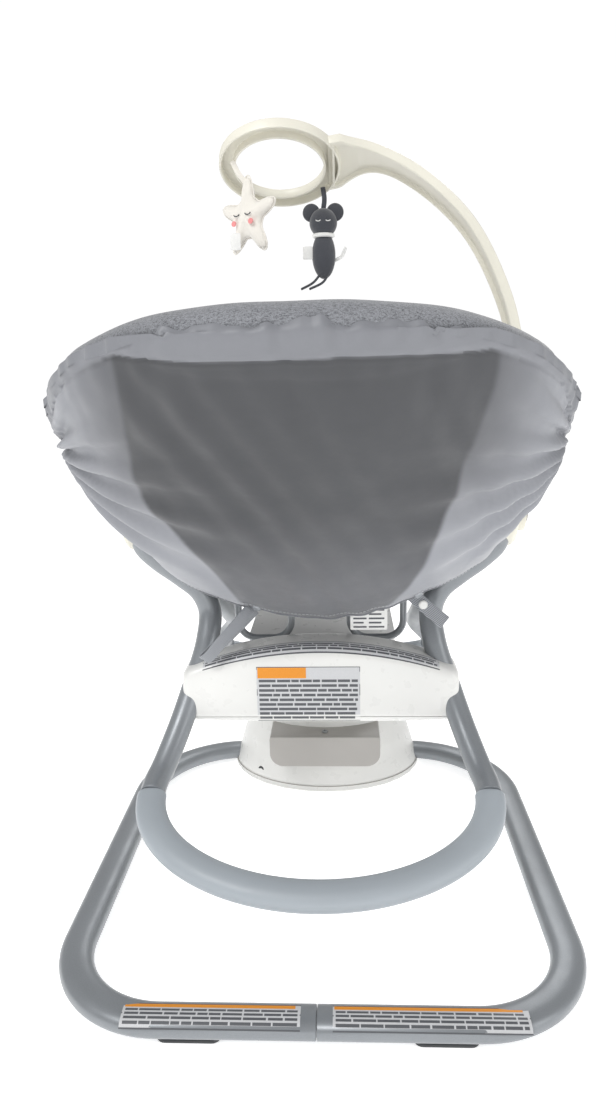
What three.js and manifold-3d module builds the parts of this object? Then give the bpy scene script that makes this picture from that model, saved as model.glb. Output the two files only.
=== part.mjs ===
// Baby swing: a rocker seat that docks on a swaying and gliding motor base.
// Millimetres, +Z up. The origin is on the floor, under the drive axis of the motor housing.
// The head end of the seat points to -Y, the foot end to +Y, and the toy arm stands on the +X side.

import * as THREE from "three";
import { mergeVertices } from "three/addons/utils/BufferGeometryUtils.js";
import Module from "manifold-3d";

const wasm = await Module();
wasm.setup();

// ---------------------------------------------------------------- clearances
const fitGap = 0.4; // between pieces that touch
const runGap = 1.5; // between pieces that move past each other

// ---------------------------------------------------------------- floor frame
const baseWidth = 622; // over the side tubes
const baseTubeWidth = 40;
const baseTubeHeight = 25;
const padThick = 4;
const padLength = 70;
const padWidth = 26;
const frontRailY = -612;
const rearRailY = 0;
const frontCornerRadius = 120;
const rearCornerRadius = 150;
const spigotLength = 110;
const tubeWall = 2;
const baseTubeZ = padThick + fitGap + baseTubeHeight / 2;
const sideX = (baseWidth - baseTubeWidth) / 2;

// ---------------------------------------------------------------- motor housing
const housingHalfX = 163; // half width at the floor
const housingHalfY = 120; // half depth at the floor
const housingTop = 138;
const housingWall = 3;
const housingOpening = 70; // radius of the round hole in the top
const coverThick = 3.6;
const tubeReach = 32; // how far a rear rail runs into the housing
const shroudHalfWidth = 90;
const shroudBottom = 54;
const shroudTop = 105;
const shroudFrontY = -132;
const shroudCorner = 22;
const shroudWall = 3;
const screwHeadRadius = 5;
const screwShankRadius = 2;
const screwY = -112;
const socketAngle = 225; // degrees round the housing, seen from above
const socketRadius = 6.5;
const socketBore = 2.8;
const socketLength = 16;
const socketZ = 20;
const panelHalfWidth = 66;
const panelBottom = 40;
const panelTop = 96;
const panelFaceY = 118;
const panelCorner = 14;
const buttonRadius = 7;
const buttonPitch = 36;
const buttonZ = 66;
const buttonProud = 2.5;
const buttonLength = 8;

// ---------------------------------------------------------------- drive, inside the housing
const wormWheelRadius = 32;
const wormWheelThick = 8;
const wormRadius = 5;
const wormLength = 28;
const wormShaftRadius = 2;
const driveZ = 46;
const wormWheelY = 44;
const motorRadius = 17;
const motorLength = 48;
const boardLength = 96;
const boardWidth = 46;
const boardThick = 1.6;
const boardY = -58;
const boardZ = 32;
const spindleRadius = 12;
const spindleBottom = 72;
const bearingOuter = 34;
const bearingThick = 12;
const bearingZ = 118;
const turretRadius = 74;
const turretThick = 8;
const railHalfGap = 40; // from the middle to a rail's centre
const railWidth = 14;
const railHeight = 14;
const railLength = 150;
const carriageHalfWidth = 62;
const carriageLength = 104;

// ---------------------------------------------------------------- dock
const dockHalfWidth = 110;
const dockBackY = 20;
const dockFrontY = -200;
const dockTop = 300;
const dockWall = 4;
const dockSkirt = 38; // depth of the shoe's side walls
const cradleBottom = 216;
const tongueHalfWidth = 64;
const leverWidth = 50;
const leverHeight = 18;
const leverLength = 34;
const leverProud = 12;

// ---------------------------------------------------------------- rocker frame
const pivotY = -240;
const pivotZ = 492;
const hubRadius = 44;
const hubInnerX = 222;
const hubSeamX = 240;
const hubOuterX = 266;
const legRadius = 16;
const legSpread = 22; // from the pivot to each leg, along Y
const waistX = 154; // legs' half gap above the cross housing
const gripWidth = 38;
const gripHeight = 28;
const headGripX = 213;
const headGripY = -412;
const headGripZ = 166;
const headGripReach = 135;
const headGripDrop = 46;
const footGripX = 200;
const footGripY = 150;
const footGripZ = 165;
const footGripReach = 58;
const footGripDrop = 40;

// ---------------------------------------------------------------- cross housing
const crossHalfWidth = 187;
const crossFrontY = -322;
const crossBackY = -252;
const crossBottom = 217;
const crossTop = 331;
const crossEndDrop = 38; // how much lower the top edge is at the ends
const crossSeam = 229;
const crossWall = 3;
const crossHollow = 132; // half width of the hollow between the leg clamps
const crossCorner = 18;
const vibratorRadius = 12;
const vibratorLength = 34;
const cellRadius = 13;
const cellLength = 50;
const doorHalfWidth = 46;
const doorHalfDepth = 21;
const doorThick = 2.4;

// ---------------------------------------------------------------- seat
const rimTubeRadius = 8;
const rimPadRadius = 22;
const rimHalfWidth = 242;
const rimTaper = 52; // how much wider the head half is than the foot half
const rimHalfLength = 375;
const rimMidY = -265;
const rimSquareness = 2.6; // 2 is an ellipse, more is squarer
const rimAbovePivot = 78;
const rimHeadRise = 157; // from the pivot's level up to the head end
const rimFootDrop = 65; // from the pivot's level down to the foot end
const bowlDepth = 76; // at the ends
const bowlBelly = 112; // extra depth under the hips
const bellyY = -300;
const bellyLength = 200;
const rimSides = 36; // straight stretches round the rim
const slingInset = 36; // from the rim's middle in to the sling
const slingThick = 3;
const cushionThick = 12;
const cushionGap = 3.5; // from the sling in to the cushion
const bracketWidth = 36;
const bracketThick = 11;
const axleRadius = 8;
const bailRadius = 5;
const bailInnerX = 42;
const bailOuterX = 118;
const bailBottom = 312;
const bailY = -232;
const strapWidth = 25;
const strapThick = 3;
const strapLift = 12; // from the cushion up to a strap
const waistStrapY = -165;
const buckleWidth = 52;
const buckleLength = 58;
const buckleThick = 14;
const pillowWidth = 190;
const pillowLength = 110;
const pillowThick = 30;

// ---------------------------------------------------------------- toy arm
const armLean = 12; // degrees towards the foot end
const armThick = 13;
const armWidthLow = 35;
const armWidthHigh = 50;
const armFlareWidth = 96; // where it meets the ring
const armFlareLength = 80;
const armX = hubOuterX + fitGap + armThick / 2;
const armBossRadius = 24;
const armPinRadius = 6;
const ringX = -48;
const ringRise = 482; // above the pivot, along the arm's lean
const ringOuter = 83;
const ringInner = 61;
const ringBand = 14;
const ringTilt = 12; // degrees more than the arm's lean
const starRadius = 50;
const starThick = 26;
const toyGap = 2.5; // between the ring and a toy's loop
const starDrop = 73; // from the ring down to the star's middle
const mouseDrop = 42; // from the ring down to the middle of the mouse's head

// ================================================================= helpers
const deg = Math.PI / 180;
const v = (x, y, z) => new THREE.Vector3(x, y, z);
const mix = (a, b, t) => a + (b - a) * t;

// A run of straight stretches, sampled at its own points, with the section square to the bend.
class Route extends THREE.Curve {
  constructor(points) {
    super();
    this.points = points;
  }

  getPoint(t, target = new THREE.Vector3()) {
    const place = t * (this.points.length - 1);
    const i = Math.min(Math.floor(place), this.points.length - 2);
    return target.copy(this.points[i]).lerp(this.points[i + 1], place - i);
  }

  getTangent(t, target = new THREE.Vector3()) {
    const last = this.points.length - 1;
    const i = Math.round(t * last);
    const here = this.points[i];
    const back = this.points[Math.max(i - 1, 0)];
    const next = this.points[Math.min(i + 1, last)];
    const arriving = here.clone().sub(back).normalize();
    const leaving = next.clone().sub(here).normalize();
    return target.copy(arriving).add(leaving).normalize();
  }

  getUtoTmapping(u) {
    return u;
  }
}

// Straight stretches joined by arcs: corners is a list of { at, radius }.
function filleted(corners, step = 18) {
  const points = [corners[0].at];
  for (let i = 1; i < corners.length - 1; i += 1) {
    const { at, radius } = corners[i];
    const back = corners[i - 1].at.clone().sub(at).normalize();
    const next = corners[i + 1].at.clone().sub(at).normalize();
    const half = back.angleTo(next) / 2;
    const centre = back.clone().add(next).normalize().multiplyScalar(radius / Math.sin(half)).add(at);
    const start = back.clone().multiplyScalar(radius / Math.tan(half)).add(at).sub(centre);
    const axis = start.clone().cross(at.clone().sub(centre)).normalize();
    const sweep = Math.PI - 2 * half;
    const steps = Math.max(2, Math.round(sweep / (step * deg)));
    for (let k = 0; k <= steps; k += 1) {
      points.push(start.clone().applyAxisAngle(axis, (sweep * k) / steps).add(centre));
    }
  }
  points.push(corners[corners.length - 1].at);
  return new Route(points);
}

// The same route with both ends carried on in a straight line.
function lengthened(route, by) {
  const points = route.points.map((point) => point.clone());
  const last = points.length - 1;
  points[0].sub(route.getTangent(0).multiplyScalar(by));
  points[last].add(route.getTangent(1).multiplyScalar(by));
  return new Route(points);
}

// A smooth run through a few points, with the same number of steps between each two.
function smooth(points, steps = 2) {
  const curve = new THREE.CatmullRomCurve3(points, false, "centripetal");
  const count = (points.length - 1) * steps;
  return new Route(Array.from({ length: count + 1 }, (_, i) => curve.getPoint(i / count)));
}

function ovalShape(width, height, sides = 14, squareness = 2) {
  const points = [];
  for (let i = 0; i < sides; i += 1) {
    const a = ((i + 0.5) / sides) * 2 * Math.PI;
    const x = Math.sign(Math.cos(a)) * Math.abs(Math.cos(a)) ** (2 / squareness);
    const y = Math.sign(Math.sin(a)) * Math.abs(Math.sin(a)) ** (2 / squareness);
    points.push(new THREE.Vector2((x * width) / 2, (y * height) / 2));
  }
  return new THREE.Shape(points);
}

function roundedShape(x0, y0, x1, y1, lower, upper = lower) {
  const shape = new THREE.Shape();
  shape.moveTo(x0 + lower, y0);
  shape.lineTo(x1 - lower, y0);
  shape.absarc(x1 - lower, y0 + lower, lower, -Math.PI / 2, 0, false);
  shape.lineTo(x1, y1 - upper);
  shape.absarc(x1 - upper, y1 - upper, upper, 0, Math.PI / 2, false);
  shape.lineTo(x0 + upper, y1);
  shape.absarc(x0 + upper, y1 - upper, upper, Math.PI / 2, Math.PI, false);
  shape.lineTo(x0, y0 + lower);
  shape.absarc(x0 + lower, y0 + lower, lower, Math.PI, Math.PI * 1.5, false);
  return shape;
}

// Turns a geometry into a closed solid with its faces pointing out.
function solid(geometry) {
  const bare = geometry.clone();
  bare.deleteAttribute("normal");
  bare.deleteAttribute("uv");
  const merged = mergeVertices(bare, 1e-3);
  const places = new Float32Array(merged.attributes.position.array);
  const corners = [];
  const all = merged.index.array;
  let volume = 0;
  for (let i = 0; i < all.length; i += 3) {
    const [a, b, c] = [all[i], all[i + 1], all[i + 2]];
    if (a !== b && b !== c && a !== c) {
      corners.push(a, b, c);
      const [p, q, r] = [a, b, c].map((k) => new THREE.Vector3().fromArray(places, 3 * k));
      volume += p.dot(q.cross(r));
    }
  }
  if (volume < 0) {
    corners.reverse();
  }
  const triVerts = new Uint32Array(corners);
  return new wasm.Manifold(new wasm.Mesh({ numProp: 3, vertProperties: places, triVerts }));
}

function geometryOf(body) {
  const { vertProperties, triVerts } = body.getMesh();
  const geometry = new THREE.BufferGeometry();
  geometry.setAttribute("position", new THREE.BufferAttribute(new Float32Array(vertProperties), 3));
  geometry.setIndex(new THREE.BufferAttribute(new Uint32Array(triVerts), 1));
  geometry.computeVertexNormals();
  return geometry;
}

function box(x0, x1, y0, y1, z0, z1) {
  const geometry = new THREE.BoxGeometry(x1 - x0, y1 - y0, z1 - z0);
  return solid(geometry.translate((x0 + x1) / 2, (y0 + y1) / 2, (z0 + z1) / 2));
}

// A round bar from one point to another.
function bar(from, to, radius, sides = 14) {
  const along = to.clone().sub(from);
  const geometry = new THREE.CylinderGeometry(radius, radius, along.length(), sides);
  const turn = new THREE.Quaternion().setFromUnitVectors(v(0, 1, 0), along.clone().normalize());
  const middle = from.clone().lerp(to, 0.5);
  return solid(geometry.applyQuaternion(turn).translate(middle.x, middle.y, middle.z));
}

// A body turned round a vertical axis from a profile of [radius, height] pairs.
function turned(profile, sides = 32, x = 0, y = 0) {
  const points = profile.map(([radius, height]) => new THREE.Vector2(radius, height));
  return solid(new THREE.LatheGeometry(points, sides).rotateX(Math.PI / 2).translate(x, y, 0));
}

function swept(route, shape) {
  const settings = { steps: route.points.length - 1, extrudePath: route, bevelEnabled: false };
  return solid(new THREE.ExtrudeGeometry(shape, settings));
}

// A shape drawn in X and Z, made thick along Y.
function standing(shape, y0, y1, curveSegments = 5) {
  const settings = { depth: y1 - y0, bevelEnabled: false, curveSegments };
  const geometry = new THREE.ExtrudeGeometry(shape, settings).rotateX(Math.PI / 2);
  return solid(geometry.translate(0, y1, 0));
}

// A shape drawn in X and Y, made thick along Z.
function lying(shape, z0, z1, curveSegments = 5) {
  const settings = { depth: z1 - z0, bevelEnabled: false, curveSegments };
  return solid(new THREE.ExtrudeGeometry(shape, settings).translate(0, 0, z0));
}

function warped(geometry, place) {
  const position = geometry.attributes.position;
  for (let i = 0; i < position.count; i += 1) {
    const [x, y, z] = place(position.getX(i), position.getY(i), position.getZ(i));
    position.setXYZ(i, x, y, z);
  }
  return geometry;
}

const joined = (bodies) => bodies.reduce((whole, body) => whole.add(body));

// ================================================================= looks
const looks = {
  tubeGrey: { color: 0x7d8285, roughness: 0.45, metalness: 0.3 },
  gripGrey: { color: 0xa5acb1, roughness: 0.5, metalness: 0 },
  white: { color: 0xe1e1de, roughness: 0.4, metalness: 0 },
  silver: { color: 0xa5a29e, roughness: 0.45, metalness: 0 },
  ivory: { color: 0xdcdacd, roughness: 0.45, metalness: 0 },
  rubber: { color: 0x4a4c4e, roughness: 0.9, metalness: 0 },
  steel: { color: 0xb8babb, roughness: 0.3, metalness: 0.9 },
  brass: { color: 0xb5934c, roughness: 0.35, metalness: 0.9 },
  darkPlastic: { color: 0x2a2b2d, roughness: 0.5, metalness: 0 },
  board: { color: 0x1f5a3a, roughness: 0.5, metalness: 0 },
  nylon: { color: 0x85888c, roughness: 0.6, metalness: 0 },
  heather: { color: 0x6f7276, roughness: 0.95, metalness: 0 },
  cushion: { color: 0xb9bcc0, roughness: 0.95, metalness: 0 },
  webbing: { color: 0x8d9093, roughness: 0.85, metalness: 0 },
  plushWhite: { color: 0xe6e2da, roughness: 1, metalness: 0 },
  plushSlate: { color: 0x4b4d51, roughness: 1, metalness: 0 },
};

const swing = new THREE.Group();
const base = new THREE.Group();
const turret = new THREE.Group();
const carriage = new THREE.Group();
const rocker = new THREE.Group();
const seat = new THREE.Group();
const toyArm = new THREE.Group();

function add(group, name, body, look) {
  const mesh = new THREE.Mesh(geometryOf(body), new THREE.MeshStandardMaterial(looks[look]));
  mesh.name = name;
  group.add(mesh);
  return mesh;
}

// Calls make once for each side, with "left" at -X and "right" at +X.
function bothSides(make) {
  make("left", -1);
  make("right", 1);
}

// ================================================================= floor frame
function baseTubeRoute(side) {
  return filleted([
    { at: v(side * fitGap, frontRailY, baseTubeZ) },
    { at: v(side * sideX, frontRailY, baseTubeZ), radius: frontCornerRadius },
    { at: v(side * sideX, rearRailY, baseTubeZ), radius: rearCornerRadius },
    { at: v(side * (housingHalfX - tubeReach), rearRailY, baseTubeZ) },
  ]);
}

function baseTube(side, grow = 0) {
  return swept(baseTubeRoute(side), ovalShape(baseTubeHeight + grow, baseTubeWidth + grow, 10, 2.4));
}

function baseTubeBore(side) {
  const section = ovalShape(baseTubeHeight - 2 * tubeWall, baseTubeWidth - 2 * tubeWall, 8, 2.4);
  return swept(lengthened(baseTubeRoute(side), 5), section);
}

function spigot() {
  const half = spigotLength / 2;
  const inside = 2 * tubeWall + 2 * runGap;
  const section = ovalShape(baseTubeHeight - inside, baseTubeWidth - inside, 8, 2.4);
  return swept(new Route([v(-half, frontRailY, baseTubeZ), v(half, frontRailY, baseTubeZ)]), section);
}

function buildFloorFrame() {
  bothSides((name, side) => {
    add(base, `base_tube_${name}`, baseTube(side).subtract(baseTubeBore(side)), "tubeGrey");
    const frontX = side * (sideX - frontCornerRadius - padLength / 2);
    const rearY = rearRailY - rearCornerRadius - padLength / 2;
    const halfL = padLength / 2;
    const halfW = padWidth / 2;
    const front = roundedShape(frontX - halfL, frontRailY - halfW, frontX + halfL, frontRailY + halfW, 10);
    const rear = roundedShape(side * sideX - halfW, rearY - halfL, side * sideX + halfW, rearY + halfL, 10);
    const padTop = padThick;
    const tube = baseTube(side, 2 * fitGap);
    add(base, `foot_pad_front_${name}`, lying(front, 0, padTop, 3).subtract(tube), "rubber");
    add(base, `foot_pad_rear_${name}`, lying(rear, 0, padTop, 3).subtract(tube), "rubber");
  });
  add(base, "base_tube_spigot", spigot(), "steel");
}

// ================================================================= motor housing
// The housing's outline as [height, share of the half width].
function housingProfile(inset) {
  const run = [
    [housingTop, 0.638],
    [housingTop - 3, 0.687],
    [housingTop - 10, 0.724],
    [shroudTop, 0.785],
    [65, 0.89],
    [20, 0.969],
    [padThick, 1],
  ];
  return run.map(([z, share]) => [housingHalfX * share - inset, z]);
}

function squashed(body) {
  return body.scale([1, housingHalfY / housingHalfX, 1]);
}

function housingSolid(grow) {
  const side = housingProfile(-grow);
  return squashed(turned([[0, housingTop + grow], ...side, [side[6][0], -5], [0, -5]], 28));
}

function housingShell() {
  const outer = housingProfile(0);
  const inner = housingProfile(housingWall * 1.3).filter((_, i) => i % 3 === 0).reverse();
  inner[2][1] -= housingWall;
  const top = [[0, housingTop]];
  return squashed(turned([...top, ...outer, ...inner, [0, housingTop - housingWall]], 28));
}

function socketFrame() {
  const share = housingProfile(0)[5][0];
  const x = share * Math.cos(socketAngle * deg);
  const y = share * Math.sin(socketAngle * deg) * (housingHalfY / housingHalfX);
  const slope = (housingHalfX / housingHalfY) ** 2;
  return { at: v(x, y, socketZ), out: v(x, y * slope, 0).normalize() };
}

function buildHousing() {
  const { at, out } = socketFrame();
  const along = (distance) => out.clone().multiplyScalar(distance).add(at);
  const socketInside = along(-socketLength);
  const hole = bar(v(0, 0, 100), v(0, 0, housingTop + 10), housingOpening, 28);
  const tubes = baseTube(-1, 4 * fitGap).add(baseTube(1, 4 * fitGap));
  const socketHole = bar(along(-socketLength - 5), along(9), socketRadius + fitGap, 16);
  const shell = housingShell().subtract(hole).subtract(tubes).subtract(socketHole);
  add(base, "base_housing", shell, "white");

  const socketBody = bar(socketInside, along(-0.5), socketRadius, 16);
  const bore = bar(along(-9), along(3), socketBore, 12);
  add(base, "power_socket", socketBody.subtract(bore), "darkPlastic");

  const coverRadius = housingHalfX - 1;
  const cover = turned([[0, 0], [coverRadius, 0], [coverRadius, coverThick], [0, coverThick]], 28);
  add(base, "base_bottom_cover", squashed(cover), "white");

  const [outside, inside] = [0, shroudWall].map((inset) => {
    const half = shroudHalfWidth - inset;
    return roundedShape(-half, shroudBottom + inset, half, shroudTop - inset, shroudCorner - inset, 4);
  });
  const shroudSolid = standing(outside, shroudFrontY, -60);
  const shroudHollow = standing(inside, shroudFrontY + shroudWall, -50);
  const holeRadius = screwShankRadius + fitGap;
  const screwHole = bar(v(0, screwY, shroudTop - 20), v(0, screwY, shroudTop + 5), holeRadius, 12);
  const shroud = shroudSolid.subtract(housingSolid(fitGap * 2)).subtract(shroudHollow).subtract(screwHole);
  add(base, "arm_shroud", shroud, "silver");

  const headZ = shroudTop + fitGap;
  const head = bar(v(0, screwY, headZ), v(0, screwY, headZ + 2.6), screwHeadRadius, 16);
  const shank = bar(v(0, screwY, headZ - 12), v(0, screwY, headZ + 1), screwShankRadius, 12);
  add(base, "shroud_screw", head.add(shank), "steel");
}

function buildControls() {
  const outline = roundedShape(-panelHalfWidth, panelBottom, panelHalfWidth, panelTop, panelCorner);
  let panel = standing(outline, 60, panelFaceY).subtract(housingSolid(fitGap * 2));
  const names = ["power", "speed", "music"];
  const places = names.map((_, i) => (i - (names.length - 1) / 2) * buttonPitch);
  const back = panelFaceY + buttonProud - buttonLength;
  for (const x of places) {
    const mouth = v(x, panelFaceY + 5, buttonZ);
    const well = bar(v(x, back - runGap - 1, buttonZ), mouth, buttonRadius + fitGap);
    panel = panel.subtract(well);
  }
  add(base, "control_panel", panel, "silver");
  names.forEach((name, i) => {
    const face = panelFaceY + buttonProud;
    const button = bar(v(places[i], back, buttonZ), v(places[i], face, buttonZ), buttonRadius);
    add(base, `${name}_button`, button, "white");
  });
}

// ================================================================= drive
function buildDrive() {
  const wormY = wormWheelY - wormWheelRadius - wormRadius - fitGap;
  const half = wormLength / 2;
  const worm = bar(v(-half, wormY, driveZ), v(half, wormY, driveZ), wormRadius, 12);
  const motorFace = -wormWheelRadius - runGap;
  const shaftEnd = motorFace - 6;
  const shaft = bar(v(shaftEnd, wormY, driveZ), v(0, wormY, driveZ), wormShaftRadius, 10);
  add(base, "motor_worm", worm.add(shaft), "brass");

  const motorFrom = v(motorFace - motorLength, wormY, driveZ);
  const motorBody = bar(motorFrom, v(motorFace, wormY, driveZ), motorRadius, 20);
  const motorBore = bar(v(shaftEnd - 3, wormY, driveZ), v(0, wormY, driveZ), wormShaftRadius + 1, 12);
  add(base, "drive_motor", motorBody.subtract(motorBore), "steel");

  const low = driveZ - wormWheelThick / 2;
  const wheel = turned(
    [[4, low], [wormWheelRadius, low], [wormWheelRadius, low + wormWheelThick], [12, low + wormWheelThick],
      [12, low + wormWheelThick + 6], [4, low + wormWheelThick + 6], [4, low]],
    20,
    0,
    wormWheelY,
  );
  add(base, "worm_wheel", wheel, "ivory");

  const board = box(-boardLength / 2, boardLength / 2, boardY - boardWidth / 2, boardY + boardWidth / 2,
    boardZ, boardZ + boardThick);
  add(base, "circuit_board", board, "board");

  const inner = spindleRadius + runGap;
  const top = bearingZ + bearingThick;
  const ring = [[inner, bearingZ], [bearingOuter, bearingZ], [bearingOuter, top], [inner, top],
    [inner, bearingZ]];
  add(base, "turret_bearing", turned(ring, 20), "steel");
}

function buildTurret() {
  const low = housingTop + runGap;
  const high = low + turretThick;
  const profile = [[0, spindleBottom], [spindleRadius, spindleBottom], [spindleRadius, low],
    [turretRadius, low], [turretRadius, high], [0, high]];
  const rails = [-1, 1].map((side) => {
    const x = side * railHalfGap;
    const half = railWidth / 2;
    return box(x - half, x + half, -railLength / 2, railLength / 2, low + 2, high + railHeight);
  });
  add(turret, "turret_plate", turned(profile, 28).add(joined(rails)), "silver");
  return high + railHeight;
}

function buildCarriage(railTop) {
  const bottom = railTop - railHeight + 2 * runGap;
  const top = cradleBottom - fitGap;
  const halfLength = carriageLength / 2;
  const blank = box(-carriageHalfWidth, carriageHalfWidth, -halfLength, halfLength, bottom, top);
  const grooveHalf = railWidth / 2 + runGap;
  const grooves = [-1, 1].map((side) => box(side * railHalfGap - grooveHalf, side * railHalfGap + grooveHalf,
    -carriageLength, carriageLength, bottom - 5, railTop + runGap));
  const lightening = box(-24, 24, -halfLength + 10, halfLength - 10, bottom - 5, top - 12);
  add(carriage, "glide_carriage", blank.subtract(joined(grooves)).subtract(lightening), "silver");
}

// ================================================================= dock
function buildDock() {
  const inner = dockHalfWidth - dockWall - runGap;
  const front = dockFrontY + dockWall + runGap;
  const back = dockBackY - dockWall - runGap;
  const cradleTop = dockTop - dockWall - runGap;
  const leverZ = cradleBottom + leverHeight / 2 + 8;
  const outline = roundedShape(-inner, front, inner, back, 18);
  const inside = roundedShape(-inner + dockWall, front + dockWall, inner - dockWall, back - dockWall, 14);
  const lid = cradleTop - dockWall;
  let cradle = lying(outline, cradleBottom, cradleTop).subtract(lying(inside, cradleBottom - 5, lid));
  const footing = box(-carriageHalfWidth, carriageHalfWidth, -carriageLength / 2, back - 1,
    cradleBottom, cradleBottom + 5);
  cradle = cradle.add(footing);
  const slotHalf = leverWidth / 2 + fitGap;
  const slotLow = leverZ - leverHeight / 2 - fitGap;
  const slotHigh = slotLow + leverHeight + 2 * fitGap;
  const slot = box(-slotHalf, slotHalf, back - dockWall - 5, back + 5, slotLow, slotHigh);
  add(carriage, "dock_cradle", cradle.subtract(slot), "white");

  const tip = back + leverProud;
  const lever = standing(
    roundedShape(-leverWidth / 2, leverZ - leverHeight / 2, leverWidth / 2, leverZ + leverHeight / 2, 5),
    tip - leverLength,
    tip,
    3,
  );
  add(carriage, "dock_release_lever", lever, "silver");

  const shoeOutline = roundedShape(-dockHalfWidth, dockFrontY, dockHalfWidth, dockBackY, 22);
  const pocket = roundedShape(-inner - runGap, front - runGap, inner + runGap, back + runGap, 19);
  const shoeLow = dockTop - dockSkirt;
  const pocketTop = dockTop - dockWall;
  const tongue = box(-tongueHalfWidth, tongueHalfWidth, crossBackY + fitGap, dockFrontY + 20,
    pocketTop - 16, dockTop);
  const tray = lying(shoeOutline, shoeLow, dockTop).add(tongue);
  add(rocker, "dock_shoe", tray.subtract(lying(pocket, shoeLow - 5, pocketTop)), "white");
}

// ================================================================= rocker frame
function headLegRoute(side) {
  const y = pivotY - legSpread;
  const midY = (crossFrontY + crossBackY) / 2;
  const across = (share) => mix(hubSeamX, waistX, share);
  const points = [
    [hubSeamX, y, pivotZ - 14],
    [hubSeamX, y, pivotZ - 34],
    [across(0.21), y, pivotZ - 54],
    [across(0.58), y, pivotZ - 78],
    [across(0.87), y, pivotZ - 100],
    [waistX, y, pivotZ - 128],
    [waistX + 3, midY + 7, crossTop - 9],
    [waistX + 22, midY - 15, mix(crossBottom, crossTop, 0.4)],
    [headGripX - 23, crossFrontY - 8, crossBottom + 5],
    [headGripX - 7, headGripY + 40, headGripZ + 17],
    [headGripX - 1, headGripY + 18, headGripZ + (18 * headGripDrop) / headGripReach],
    [headGripX, headGripY, headGripZ],
  ];
  return smooth(points.map(([x, py, z]) => v(side * x, py, z)));
}

function footLegRoute(side) {
  const y = pivotY + legSpread;
  const points = [
    [hubSeamX, y, pivotZ - 14],
    [hubSeamX, y, pivotZ - 34],
    [hubSeamX - 20, y + 24, pivotZ - 70],
    [mix(hubSeamX, waistX, 0.75), y + 108, pivotZ - 142],
    [waistX + 6, mix(pivotY, footGripY, 0.56), mix(pivotZ, footGripZ, 0.64)],
    [mix(waistX, footGripX, 0.25), footGripY - 80, footGripZ + 70],
    [mix(waistX, footGripX, 0.8), footGripY - 38, footGripZ + 32],
    [footGripX - 1, footGripY - 16, footGripZ + (16 * footGripDrop) / footGripReach],
    [footGripX, footGripY, footGripZ],
  ];
  return smooth(points.map(([x, py, z]) => v(side * x, py, z)));
}

function leg(route, grow = 0) {
  return swept(route, ovalShape(2 * (legRadius + grow), 2 * (legRadius + grow), 8));
}

function hollowLeg(route) {
  const bore = 2 * (legRadius - tubeWall);
  return leg(route).subtract(swept(lengthened(route, 5), ovalShape(bore, bore, 6)));
}

// A U-shaped hand grip from one side to the other. reach is signed along Y.
function grip(halfWidth, y, z, reach, drop, squareness) {
  const points = [];
  const steps = 18;
  for (let i = 0; i <= steps; i += 1) {
    const a = mix(0, Math.PI, i / steps);
    const across = Math.sign(Math.cos(a)) * Math.abs(Math.cos(a)) ** (2 / squareness);
    const away = Math.sin(a) ** (2 / squareness);
    points.push(v(halfWidth * across, y + reach * away, z - drop * away));
  }
  const sign = Math.sign(reach);
  const start = v(halfWidth, y + sign * fitGap, z - (fitGap * drop) / Math.abs(reach));
  const end = start.clone().setX(-halfWidth);
  points[0] = start;
  points[steps] = end;
  return swept(new Route(points), ovalShape(gripHeight, gripWidth, 10, 2.2));
}

function hubCut(side) {
  const legs = leg(headLegRoute(side), fitGap).add(leg(footLegRoute(side), fitGap));
  const from = v(side * (hubInnerX - 20), pivotY, pivotZ);
  const to = v(side * (hubOuterX - 8), pivotY, pivotZ);
  return legs.add(bar(from, to, axleRadius + fitGap, 12));
}

function buildRockerFrame() {
  bothSides((name, side) => {
    add(rocker, `head_leg_${name}`, hollowLeg(headLegRoute(side)), "tubeGrey");
    add(rocker, `foot_leg_${name}`, hollowLeg(footLegRoute(side)), "tubeGrey");
    const cut = hubCut(side);
    const disc = (x0, x1) => bar(v(side * x0, pivotY, pivotZ), v(side * x1, pivotY, pivotZ), hubRadius, 24);
    add(rocker, `hub_housing_${name}`, disc(hubInnerX, hubSeamX - fitGap / 2).subtract(cut), "ivory");
    let cap = disc(hubSeamX + fitGap / 2, hubOuterX).subtract(cut);
    if (side > 0) {
      const pinHole = [v(hubOuterX - 9, pivotY, pivotZ), v(hubOuterX + 5, pivotY, pivotZ)];
      cap = cap.subtract(bar(...pinHole, armPinRadius + fitGap, 12));
    }
    add(rocker, `hub_cap_${name}`, cap, "ivory");
  });
  const head = grip(headGripX, headGripY, headGripZ, -headGripReach, headGripDrop, 2);
  const headLegs = leg(headLegRoute(-1), fitGap).add(leg(headLegRoute(1), fitGap));
  add(rocker, "head_loop_grip", head.subtract(headLegs), "gripGrey");
  const foot = grip(footGripX, footGripY, footGripZ, footGripReach, footGripDrop, 2.4);
  const footLegs = leg(footLegRoute(-1), fitGap).add(leg(footLegRoute(1), fitGap));
  add(rocker, "foot_loop_grip", foot.subtract(footLegs), "gripGrey");
}

// ================================================================= cross housing
function crossTopAt(x) {
  return crossTop - crossEndDrop * (x / crossHalfWidth) ** 2;
}

// The crescent outline, in X and Z, between two heights.
function crossShape(halfWidth, low, lift, corner) {
  const shape = new THREE.Shape();
  shape.moveTo(-halfWidth + corner, low);
  shape.lineTo(halfWidth - corner, low);
  shape.quadraticCurveTo(halfWidth, low, halfWidth, low + corner);
  const steps = 14;
  for (let i = 0; i <= steps; i += 1) {
    const x = mix(halfWidth, -halfWidth, i / steps);
    shape.lineTo(x, crossTopAt(x) + lift);
  }
  shape.lineTo(-halfWidth, low + corner);
  shape.quadraticCurveTo(-halfWidth, low, -halfWidth + corner, low);
  return shape;
}

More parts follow.
